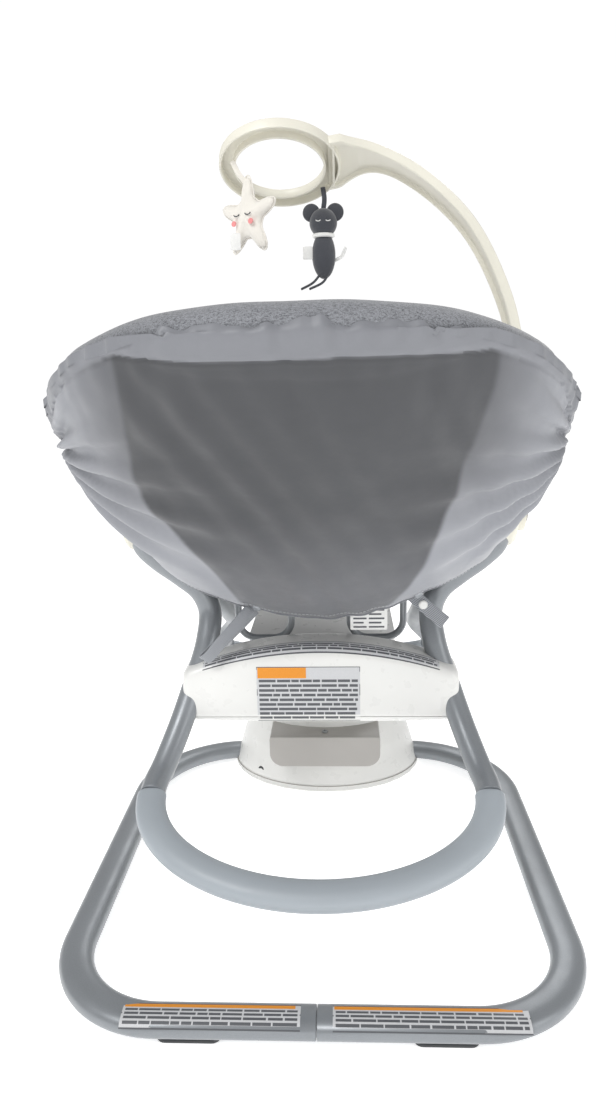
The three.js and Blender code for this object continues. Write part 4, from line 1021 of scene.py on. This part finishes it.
def cover_folds(grid):
    """Long folds that run in from a cover's two top corners."""
    folds = np.zeros(grid.shape[:2])
    for side in (-1, 1):
        corner = (side * np.abs(grid[..., 0]).max(), HEM_Y - 95.0, rim_height(HEM_Y - 95) - 6.0)
        away = grid - np.array(corner)
        far = np.linalg.norm(away, axis=-1)
        way = np.arctan2(away[..., 2], np.abs(away[..., 0]) + 0.4 * np.abs(away[..., 1]))
        fan = np.sin(23 * way + 1.3 * side + 0.9 * np.sin(far / 55))
        fan = np.sign(fan) * np.abs(fan) ** 0.7
        folds += fan * np.exp(-(((far - 90) / 100) ** 2)) * smoothstep(far, 8, 60)
    return folds


def cover_painted_light(grid, drop, crease_at):
    """Painted light and shade on the head cover: painted shade over the middle, paler lit sides that are
    shaded up high, a pale lit turned edge above the crease and a painted highlight low down.
    """
    x, z = grid[..., 0], grid[..., 2]
    reach = 84 + 76 * np.clip((z - 372) / 190, 0, 1.0) ** 0.9
    # painted shade over the middle, with the sides painted paler as lit
    painted_lit_sides = smoothstep(np.abs(x + 6 + 8 * np.sin(z / 40)), reach, reach + 8)
    # painted shade below the crease; the turned edge above it is painted lit
    below = smoothstep(drop, crease_at - 2, crease_at + 2)
    # painted highlight low on the cover
    painted_highlight = 0.24 * smoothstep(-z, -560, -400)
    # painted shade on the sides up high, near the middle
    upper = smoothstep(z, 500, 640) * smoothstep(-np.abs(x), -250, -150)
    painted_light = 0.62 * (1 - below) + ((0.8 - 0.62 * upper) * painted_lit_sides + painted_highlight + 0.06) * below
    return np.clip(painted_light, 0, 1)


def build_cover(half, name, seed):
    """The gathered skin under one half of the seat: half is -1 for the head and 1 for the foot."""
    columns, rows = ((480, 88))
    x, y, z = cover_points(half, columns, rows)
    grid = np.stack([x, y, z], -1)
    du, dv = np.gradient(grid, axis=1), np.gradient(grid, axis=0)
    normal = unit(np.cross(du, dv))
    flip = np.sign(np.sum(normal * (grid - (0, RIM_MIDDLE_Y, 600)), -1, keepdims=True))
    normal = normal * np.where(flip == 0, 1, flip)
    run_steps = np.linalg.norm(np.diff(grid[0], axis=0), axis=1)
    drop_steps = np.linalg.norm(np.diff(grid, axis=0), axis=2)
    along = np.concatenate([[0], np.cumsum(run_steps)])[None, :]
    drop = np.concatenate([np.zeros((1, columns)), np.cumsum(drop_steps, axis=0)])
    # gathers just under the roll
    pucker = np.sin(along / 4.2 + 2.6 * waves(along / 50, seed)) + 0.8 * waves(along / 9, seed + 5, 7, 0.7, 2)
    near_edge = 1.5 * np.exp(-drop / 14) + 0.5 * np.exp(-drop / 60)
    gather = pucker * near_edge * (1 + 0.9 * waves(along / 90, seed + 1))
    # a turned edge ends in a crease
    crease_at = SKIRT + 3.0 * waves(along / 120, seed + 2)
    crease = -np.exp(-(((drop - crease_at) / 3.2) ** 2)) * 3.4
    crease -= smoothstep(drop, crease_at - 1, crease_at + 8) * 2.6
    folds = 6.5 * cover_folds(grid) * smoothstep(drop, 20, 60)
    middle = np.sin(x / 33 + 0.8 + np.sin(z / 60)) * smoothstep(drop, 60, 140) * 1.3
    sag = 1.6 * waves((x + 0.6 * z) / 30, seed + 3) * smoothstep(drop, 15, 70)
    move = 1.2 * gather + crease + folds + middle + sag
    move = np.where(drop < crease_at, np.maximum(move, -1.6), move)
    grid[..., 2] += 3.5 * waves(along / 17, seed + 8, 7, 0.6, 1.6) * np.exp(-drop / 9)
    grid = grid + normal * move[..., None]
    # drawn in beside the hubs
    beside, low_down = grid[..., 1] - PIVOT_Y, -grid[..., 2]
    limit = 285 - 81 * np.exp(-((beside / 60) ** 4)) * smoothstep(low_down, -556, -520)
    grid[..., 0] *= 1 - 0.09 * np.exp(-((beside / 72) ** 2)) * smoothstep(low_down, -575, -520)
    if half > 0:
        grid[..., 0] = np.clip(grid[..., 0], -limit, limit)
    outer = grid.reshape(-1, 3)
    skin, faces = doubled(outer, outer - normal.reshape(-1, 3), rows, columns)
    sheet = piece(name, skin, faces, "nylon", "seat", "nylon", ("seat_sling",) if half < 0 else (), sharp=80)
    # painted light: painted shade and highlight on the head cover, one even painted value on the foot cover
    painted_light = cover_painted_light(grid, drop, crease_at) if half < 0 else np.full_like(x, 0.35)
    store_painted_light(sheet, np.concatenate([painted_light.ravel(), painted_light.ravel()]))
    mend(sheet)
    # the cut's area is worked back from the finished skin, so it doesn't show whether the cloth stretched
    return grid


def mend(obj):
    """Turns every face out without merging, so that point values keep their order."""
    work = bmesh.new()
    work.from_mesh(obj.data)
    bmesh.ops.recalc_face_normals(work, faces=work.faces)
    work.to_mesh(obj.data)
    work.free()


def piping(name, path, radius, look, body="seat"):
    shape = sweep(path, oval(2 * radius, 2 * radius, 10), (0, 0.3, 1), end=radius * 0.6)
    return solid(name, shape, look, body)


def build_covers():
    head = build_cover(-1, "cover_head", 21)
    piping("cover_hem_piping", head[-1][::3], 2.2, "nylon_light")
    stitches("cover_hem_stitches", head[-5][::4] + (0, -1.2, -0.4), "seat", "pale_thread", 5, 3.2, 0.45)
    build_cover(1, "cover_foot", 33)
    return head


def build_cushion():
    """The seat liner: it lines the hollow from roll to roll, quilted in a diamond pattern."""
    spokes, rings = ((192, 48))
    angle = np.linspace(0, 2 * math.pi, spokes, endpoint=False)
    share = np.linspace(1, 0.04, rings)[:, None]
    edge_x, edge_y = rim_plan(angle, 16)
    x = edge_x[None, :] * share
    y = RIM_MIDDLE_Y + (edge_y - RIM_MIDDLE_Y)[None, :] * share
    z = bowl(x, y, 22.0, LINER_INSET)
    quilt = np.abs(np.sin((x + y) / 26)) * np.abs(np.sin((x - y) / 26))
    z = z + 5.0 * quilt**0.5 * smoothstep(share, 1.0, 0.93) - 2
    top = np.stack([x, y, z], -1)
    low = np.stack([x, y, bowl(x, y, 6.0, LINER_INSET) - 1], -1)
    low[0] = top[0] + (0, 0, -3)
    verts = np.vstack([top.reshape(-1, 3), low.reshape(-1, 3)])
    n = rings * spokes
    upper = grid_faces(rings, spokes, around=True)
    faces = upper + [tuple(k + n for k in f[::-1]) for f in upper]
    faces += [(j, j + n, (j + 1) % spokes + n, (j + 1) % spokes) for j in range(spokes)]
    faces += [tuple(range(n - spokes, n)), tuple(range(2 * n - spokes, 2 * n))[::-1]]
    liner = solid("seat_liner", (verts, faces), "cushion", "seat", "cushion", ("seat_pad",), sharp=70)
    refined("seat_rim_tube", "steel", "seat", 0.3, 1)


def puffed(name, outline, thick, look, body, replaced, lay, pressure, detail):
    """A stuffed piece: two cut panels sewn round the edge and blown up by a cloth run, then laid in place."""
    outline = np.asarray(outline, float)
    n, rings = len(outline), 9
    middle = outline.mean(0)
    rows = []
    for side in (1, -1):
        for k in range(rings):
            share = 1 - k / rings
            level = middle + (outline - middle) * share
            rise = side * (thick * 0.16 + thick * 0.22 * math.sin(math.acos(min(1, share))))
            rows.append(np.column_stack([level, np.full(n, rise if k else side * thick * 0.1)]))
    verts = np.vstack(rows + [[(*middle, thick * 0.38)], [(*middle, -thick * 0.38)]])
    half = rings * n
    faces = grid_faces(rings, n, around=True)
    faces += [tuple(i + half for i in f[::-1]) for f in grid_faces(rings, n, around=True)]
    faces += [(j, j + half, (j + 1) % n + half, (j + 1) % n) for j in range(n)]
    top, low = len(verts) - 2, len(verts) - 1
    last = (rings - 1) * n
    faces += [(last + j, last + (j + 1) % n, top) for j in range(n)]
    faces += [(half + last + (j + 1) % n, half + last + j, low) for j in range(n)]
    mesh = bpy.data.meshes.new(name)
    mesh.from_pydata((verts * MM).tolist(), [], faces)
    obj = bpy.data.objects.new(name, mesh)
    scene.collection.objects.link(obj)
    outward(obj)
    remesh = obj.modifiers.new("panels", "REMESH")
    remesh.mode = "VOXEL"
    remesh.voxel_size = detail * MM
    apply_modifiers(obj)
    cloth = obj.modifiers.new("stuffing", "CLOTH")
    cloth.settings.use_pressure = True
    cloth.settings.uniform_pressure_force = pressure
    cloth.settings.effector_weights.gravity = 0
    cloth.settings.tension_stiffness = 40
    cloth.settings.compression_stiffness = 40
    cloth.settings.bending_stiffness = 0.5
    cloth.point_cache.frame_start = 1
    cloth.point_cache.frame_end = PUFF_FRAMES
    for frame_number in range(1, PUFF_FRAMES + 1):
        scene.frame_set(frame_number)
    apply_modifiers(obj)
    scene.frame_set(1)
    points = np.array([v.co for v in obj.data.vertices]) / MM
    spread = np.abs(points[:, 2]).max()
    points[:, 2] *= min(1.0, thick / 2 / spread)
    size = np.abs(outline - middle).max(0)
    got = np.abs(points[:, :2] - middle).max(0)
    points[:, :2] = middle + (points[:, :2] - middle) * np.minimum(1.0, size / got)
    obj.data.vertices.foreach_set("co", (lay(points) * MM).ravel())
    finer = obj.modifiers.new("finer", "SUBSURF")
    finer.levels = 1
    apply_modifiers(obj)
    dress(obj, look, body, replaced, 80)


def build_pillow():
    low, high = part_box("head_support")
    middle = (np.array(low) + np.array(high)) / 2 / MM
    wide, long = (high.x - low.x) / MM / 2, (high.y - low.y) / MM / 2
    outline = oval(2 * wide, 2 * long, 72, 2.6)
    outline[:, 1] *= 1 - 0.16 * np.exp(-((outline[:, 0] / 40) ** 2))

    def lay(points):
        x, y = points[:, 0], points[:, 1] + middle[1]
        return np.column_stack([x, y, bowl(x, y, 24, LINER_INSET) + 15 + points[:, 2]])

    puffed("head_pillow", outline, 30, "pillow", "seat", ("head_support",), lay, pressure=4.0, detail=5.5)


def ribbon(name, path, width, thick, look, body, slot=None, replaced=(), up=(0, 0, 1)):
    shape = sweep(path, oval(thick, width, 20, 4.0), up, end=min(thick * 0.4, 1.0))
    return solid(name, shape, look, body, slot, replaced)


def strap(name, stops, replaced):
    """A tape over the liner through stops of (x, y, height above it)."""
    path = [(x, y, bowl(x, y, 15.5) + 13.5 + up) for x, y, up in stops]
    ribbon(name, smooth_path(path, 8), 25, 3, "webbing", "seat", "webbing", (replaced,))


def build_harness():
    for side, name in SIDES:
        stops = [(side * x, -165, up) for x, up in ((29, 26), (70, 16), (105, 4), (134, 2))]
        strap(f"waist_strap_{name}", stops, f"harness_strap_{name}")
    strap("crotch_tape", [(0, -134, 30), (0, -112, 20), (0, -90, 4), (0, -62, 2)], "crotch_strap")
    low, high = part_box("harness_buckle")
    lo, hi = np.array(low) / MM, np.array(high) / MM
    y, top = (lo[1] + hi[1]) / 2, hi[2]
    slab("buckle_body", rounded_box(lo[0], hi[0], lo[1], hi[1], 16), lo[2], top, "dark_plastic", "seat",
         bevel=4, slot="dark_plastic", replaces=("harness_buckle",))
    slab("buckle_press", rounded_box(-10, 10, y - 12, y + 12, 6), top - 1, top + 1.2, "white_shell", "seat",
         bevel=0.8)


# ================================================================= toy arm
def leaned(points):
    """From the arm's own frame to the swing's."""
    x, y, z = np.asarray(points, float).T
    c, s = math.cos(ARM_LEAN), math.sin(ARM_LEAN)
    return np.column_stack([x, PIVOT_Y + y * c + z * s, PIVOT_Z - y * s + z * c])


def flare_share(x):
    """How far the arm has widened towards the ring: 0 before the flare, 1 at the ring."""
    return np.clip((RING_X + RING_OUTER + FLARE_LENGTH - x) / FLARE_LENGTH, 0, 1) ** 2


def arm_piece(name, shape, replaces=(), sharp=35):
    """An ivory piece from a shape given in the arm's own frame."""
    verts, faces = shape
    solid(name, (leaned(verts), faces), "ivory_plastic", "toy_arm", "ivory_plastic", replaces, sharp)


def build_toy_arm():
    arm_x = HUB_OUTER + 0.4 + ARM_HALF
    stops = [(arm_x, 0, -6), (arm_x + 1, 0, 50), (arm_x + 2, 0, 110), (arm_x - 1, 0, 213),
             (arm_x - 16, 0, 290), (207, 0, 394), (130, 0, 466), (75, 0, 489),
             (RING_X + RING_INNER + 6, 0, RING_RISE)]
    path = smooth_path(stops, 10)
    # half of a channel, wall and lip, as shares of the half width; the other half is its mirror
    w = 0.86
    half = [(6.5, 0.9), (5.2, 0.985), (3.6, 1.0), (-5.4, 1.0), (-6.5, 0.96), (-6.5, 0.88), (-5.8, w),
            (-1.5, w - 0.02), (-0.6, w - 0.06)]
    section = [(6.5, -0.9), *half, *[(x, -y) for x, y in half[:0:-1]]]
    width = 35 + 15 * np.clip(path[:, 2] / RING_RISE, 0, 1)
    width += (FLARE_WIDTH - width) * flare_share(path[:, 0])
    scale = np.column_stack([np.ones(len(path)), width / 2])
    verts, faces = sweep(path, section, (1, 0, 0), scale, end=0.8)
    x, y, z = verts.T
    twist = RING_TILT * flare_share(x)
    channel = np.column_stack([x, y * np.cos(twist), z - y * np.sin(twist)])
    arm_piece("toy_arm_channel", (channel, faces), ("toy_bar",), 30)
    i, o, h = RING_INNER, RING_OUTER, RING_HALF
    ring = [(i, -h), (i + 2.5, -h), (i + 2.5, 4), (o - 3, 4), (o - 3, -h), (o, -h), (o, h), (i, h), (i, -h)]
    verts, faces = turned(rounded_profile(ring, 1.4), 128)
    arm_piece("toy_ring", (ring_tilted(verts), faces))
    boss = [(0, arm_x - ARM_HALF), (24, arm_x - ARM_HALF), (24, arm_x + ARM_HALF), (0, arm_x + ARM_HALF)]
    arm_piece("toy_arm_boss", turned(rounded_profile(boss, 2.5), 64, axis="x"))
    wall = rounded_box(-44, 44, -6.5, 6.5, 2)
    verts = np.array([(83.5 + dx, yy, zz) for dx in (0, 3) for yy, zz in wall], float)
    verts[:, 0] -= 0.0062 * verts[:, 1] ** 2
    n = len(wall)
    arm_piece("toy_arm_rib", (ring_tilted(verts), grid_faces(2, n, around=True) + end_caps(n, 2 * n)))


def ring_tilted(points):
    """From the ring's own frame to the arm's."""
    x, y, z = np.asarray(points, float).T
    c, s = math.cos(RING_TILT), math.sin(RING_TILT)
    return np.column_stack([x + RING_X, y * c + z * s, RING_RISE - y * s + z * c])


def ring_under(y):
    """The height just under the ring, at one Y."""
    slope = ARM_LEAN + RING_TILT
    centre_y = PIVOT_Y + RING_RISE * math.sin(ARM_LEAN)
    centre_z = PIVOT_Z + RING_RISE * math.cos(ARM_LEAN)
    return centre_z - (y - centre_y) * math.tan(slope) - RING_HALF / math.cos(slope) - 2.5


def ball(name, radii, centre, replaced=()):
    """A rounded part of the mouse."""
    a = np.linspace(-math.pi / 2, math.pi / 2, 26)
    profile = np.column_stack([np.cos(a), np.sin(a)])
    profile[0, 0] = profile[-1, 0] = 0
    verts, faces = turned(profile, 40)
    shape = (verts * radii + np.asarray(centre), faces)
    return solid(name, shape, "plush_slate", "mouse", "plush_slate", replaced, 80)


def build_star():
    x, y, top = STAR_X, STAR_Y, ring_under(STAR_Y)
    middle_z, face = top - STAR_DROP, -STAR_THICK / 2
    a = np.arange(120) / 120 * 2 * math.pi
    points = a - math.pi / 2
    reach = STAR_RADIUS * (0.68 + 0.25 * np.cos(5 * points) + 0.07 * np.cos(10 * points))
    outline = np.column_stack([reach * np.cos(a), reach * np.sin(a)])

    def lay(points):
        u, v, w = np.asarray(points, float).T
        c, s = math.cos(STAR_TURN), math.sin(STAR_TURN)
        return np.column_stack([x + u * c - w * s, y + u * s + w * c, middle_z + v])

    puffed("star_plush", outline, STAR_THICK, "plush_white", "star", ("plush_star",), lay, pressure=6,
           detail=4.0)
    seam = lay(np.column_stack([outline * 0.995, np.zeros(120)]))
    piping("star_seam", np.vstack([seam, seam[:1]]), 0.9, "plush_white", "star")
    for k, u in enumerate((-12, 10)):
        arc = [(u + 5.5 * math.cos(t), 5 - 3.2 * math.sin(t), face - 0.2) for t in np.linspace(0.2, 2.94, 10)]
        piping(f"star_eyelid_{k}", lay(arc), 0.7, "thread", "star")
        round_line = np.linspace(0, 2 * math.pi, 24)[:-1]
        disc = [(u * 1.5 + 4.4 * math.cos(t), -7 + 3.6 * math.sin(t)) for t in round_line]
        cheek = [(du, dv, face + 0.6 - 0.9 * s) for s in (0, 1) for du, dv in disc]
        n = len(disc)
        faces = grid_faces(2, n, around=True) + end_caps(n, 2 * n)
        solid(f"star_cheek_{k}", (lay(cheek), faces), "blush", "star")
    stops = [(x, y, middle_z + 42), (x - 12, y - 1, middle_z + 56), (x - 20, y, top - 1)]
    ribbon("star_loop", smooth_path(stops, 8), 7, 1.6, "plush_white", "star", up=(0, 1, 0))
    slab("star_tag", rounded_box(x - 26, x - 12, middle_z - 42, middle_z - 20, 1.2), y - 6, y - 5.2, "tag",
         "star", axis="y", bevel=0.2)


def build_mouse():
    x, y, top = MOUSE_X, MOUSE_Y, ring_under(MOUSE_Y)
    head_z = top - MOUSE_DROP
    body_z = head_z - 44
    ball("mouse_head", (20, 18, 20), (x, y, head_z), ("plush_mouse",))
    ball("mouse_body", (17, 15, 33), (x, y, body_z))
    for side, name in SIDES:
        ball(f"mouse_ear_{name}", (12.5, 4.5, 12.5), (x + side * 17, y, head_z + 14))
        leg = smooth_path([(x + side * 6, y - 2, body_z - 27), (x + side * 7 - 9, y - 5, body_z - 38),
                           (x + side * 6 - 28, y - 4, body_z - 47)], 6)
        piping(f"mouse_leg_{name}", leg, 1.8, "plush_slate", "mouse")
        arc = [(x + side * 7 + 3.4 * math.cos(t), y - 17.2, head_z + 2 - 2 * math.sin(t))
               for t in np.linspace(0.2, 2.94, 8)]
        piping(f"mouse_eyelid_{name}", arc, 0.6, "tag", "mouse")
    a = np.linspace(0, 2 * math.pi, 40)
    collar = np.column_stack([x + 13.5 * np.cos(a), y + 12.5 * np.sin(a), np.full(40, head_z - 17.5)])
    piping("mouse_ribbon", collar, 3.0, "tag", "mouse")
    tail = [(x + 14, y + 2, body_z - 8), (x + 26, y, body_z - 2), (x + 32, y - 3, body_z + 10)]
    ribbon("mouse_tail", smooth_path(tail, 6), 5, 1.2, "tag", "mouse", up=(0, 1, 0))
    slab("mouse_tag", rounded_box(x - 30, x - 16, body_z - 6, body_z + 12, 1.2), y - 6, y - 5.2, "tag",
         "mouse", axis="y", bevel=0.2)
    low, high = head_z + 16, top + 6
    hang = smooth_path([(x, y, low), (x + 2, y - 1, (low + high) / 2), (x, y, high)], 8)
    solid("mouse_loop", sweep(hang, oval(2.8, 7.0, 14), (0, 1, 0), end=0.8), "plush_slate", "mouse")


# ================================================================= small cloth trims
def build_trims(head):
    """Snaps on the hem, the folded side strap, the snap tab and the blank care tag."""
    rows, columns = head.shape[:2]

    def on_cover(share, down):
        return head[min(rows - 1, round(down * (rows - 1))), round(share * (columns - 1))]

    profile = [(0, 2.6), (4.5, 2.4), (6.2, 0.8), (6.2, -1), (0, -1)]
    dome, dome_faces = turned(rounded_profile(profile, 1.2), 28)
    snaps = ((0.16, 0.93, "dark_plastic"), (0.40, 0.975, "wire"),
             (0.66, 0.97, "wire"), (0.86, 0.93, "dark_plastic"))
    for k, (share, down, look) in enumerate(snaps):
        at = on_cover(share, down)
        towards = unit(at - np.array([0, -150, 560.0]))
        side = unit(np.cross(towards, (0, 0, 1)))
        verts = dome @ np.array([side, np.cross(towards, side), towards]) + at + towards
        solid(f"hem_snap_{k}", (verts, dome_faces), look, "seat")
    tag = slab("care_tag", rounded_box(42, 92, 343, 386, 2), -291.2, -290.4, "tag", "seat", axis="y",
               bevel=0.2)
    bars = []
    for row in range(5):
        for k, (a, b) in enumerate(((46, 64), (67, 88))):
            low = 346 + row * 6
            outline = rounded_box(a, b - (row % 2) * 4, low, low + 2.4, 0.5)
            bars.append(slab(f"tag_bar_{row}_{k}", outline, -291.5, -291.0, "label_dark", "seat", axis="y",
                             bevel=0.1))
    prints = join(bars, "care_tag_bars")
    left = [(-86, -297, 376), (-106, -312, 358), (-130, -328, 338), (-149, -333, 322), (-152, -336, 318),
            (-146, -338, 322), (-128, -333, 342), (-108, -318, 362), (-92, -303, 378)]
    folded = ribbon("side_strap", smooth_path(left, 8), 17, 2, "webbing", "seat", up=(0, 1, 0.4))
    right = smooth_path([(116, -297, 402), (128, -303, 392), (150, -314, 374), (166, -320, 362)], 8)
    tab = ribbon("snap_tab", right, 20, 2.2, "webbing", "seat", up=(0, 1, 0.3))
    verts = dome[:, [0, 2, 1]] * (1, -1, 1) + (138, -311, 384)
    snap = solid("snap_tab_button", (verts, dome_faces), "white_shell", "seat")
    for obj in (tag, prints, folded, tab, snap):
        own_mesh(obj)


def build_swing():
    build_floor_frame()
    build_rail_labels()
    build_housing()
    build_turret_and_dock()
    build_rocker_frame()
    build_hubs()
    build_cross_housing()
    build_bails()
    build_rim()
    head = build_covers()
    build_cushion()
    build_pillow()
    build_harness()
    build_toy_arm()
    build_star()
    build_mouse()
    build_trims(head)


# ================================================================= what still shows of the plain model
def dress_the_rest():
    for name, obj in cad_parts.items():
        if not obj.hide_render:
            obj.data.materials.clear()
            obj.data.materials.append(LOOKS[INSIDE.get(name, "dark_plastic")])


INSIDE = {
    "base_tube_spigot": "steel", "drive_motor": "steel", "circuit_board": "board", "turret_bearing": "steel",
    "worm_wheel": "ivory_plastic", "motor_worm": "brass", "vibration_motor": "steel", "battery_cell": "wire",
}
# ================================================================= floor and light
def build_stage():
    mesh = bpy.data.meshes.new("floor")
    far, low = 40, -0.0005
    corners = [(-far, -far, low), (far, -far, low), (far, far, low), (-far, far, low)]
    mesh.from_pydata(corners, [], [(0, 1, 2, 3)])
    floor = bpy.data.objects.new("floor", mesh)
    scene.collection.objects.link(floor)
    ground = Finish("pale_floor")
    ground.colour(ground.ramp(ground.noise(0.6, 2), [(0.3, (0.93, 0.93, 0.93)), (0.7, (0.95, 0.95, 0.95))]))
    ground.set(Roughness=0.9, Specular_IOR_Level=0.1, Emission_Color=(1, 1, 1, 1), Emission_Strength=0.62)
    floor.data.materials.append(ground.material)
    for name, kind, place, size, power in (
        ("key", "AREA", (-1.3, -1.9, 2.6), 1.3, 44),
        ("fill", "AREA", (2.4, -2.0, 1.0), 1.6, 16),
        ("low", "AREA", (0.2, -2.6, 0.25), 0.9, 4),
        ("back", "AREA", (0.4, 2.2, 2.6), 2.0, 30),
    ):
        data = bpy.data.lights.new(name, kind)
        data.energy = power
        data.shape = "DISK"
        data.size = size
        lamp = bpy.data.objects.new(name, data)
        lamp.location = place
        aim = Vector((0, -0.25, 0.45)) - lamp.location
        lamp.rotation_euler = aim.to_track_quat("-Z", "Y").to_euler()
        scene.collection.objects.link(lamp)
    world = bpy.data.worlds.new("studio")
    world.use_nodes = True
    sky = world.node_tree.nodes["Background"]
    sky.inputs["Color"].default_value = (1, 1, 1, 1)
    seen = world.node_tree.nodes.new("ShaderNodeLightPath")
    level = world.node_tree.nodes.new("ShaderNodeMapRange")
    level.inputs["To Min"].default_value = 0.5
    level.inputs["To Max"].default_value = 1.02
    world.node_tree.links.new(seen.outputs["Is Camera Ray"], level.inputs["Value"])
    world.node_tree.links.new(level.outputs["Result"], sky.inputs["Strength"])
    scene.world = world
    scene.view_settings.view_transform = "Standard"


build_swing()
dress_the_rest()
build_stage()
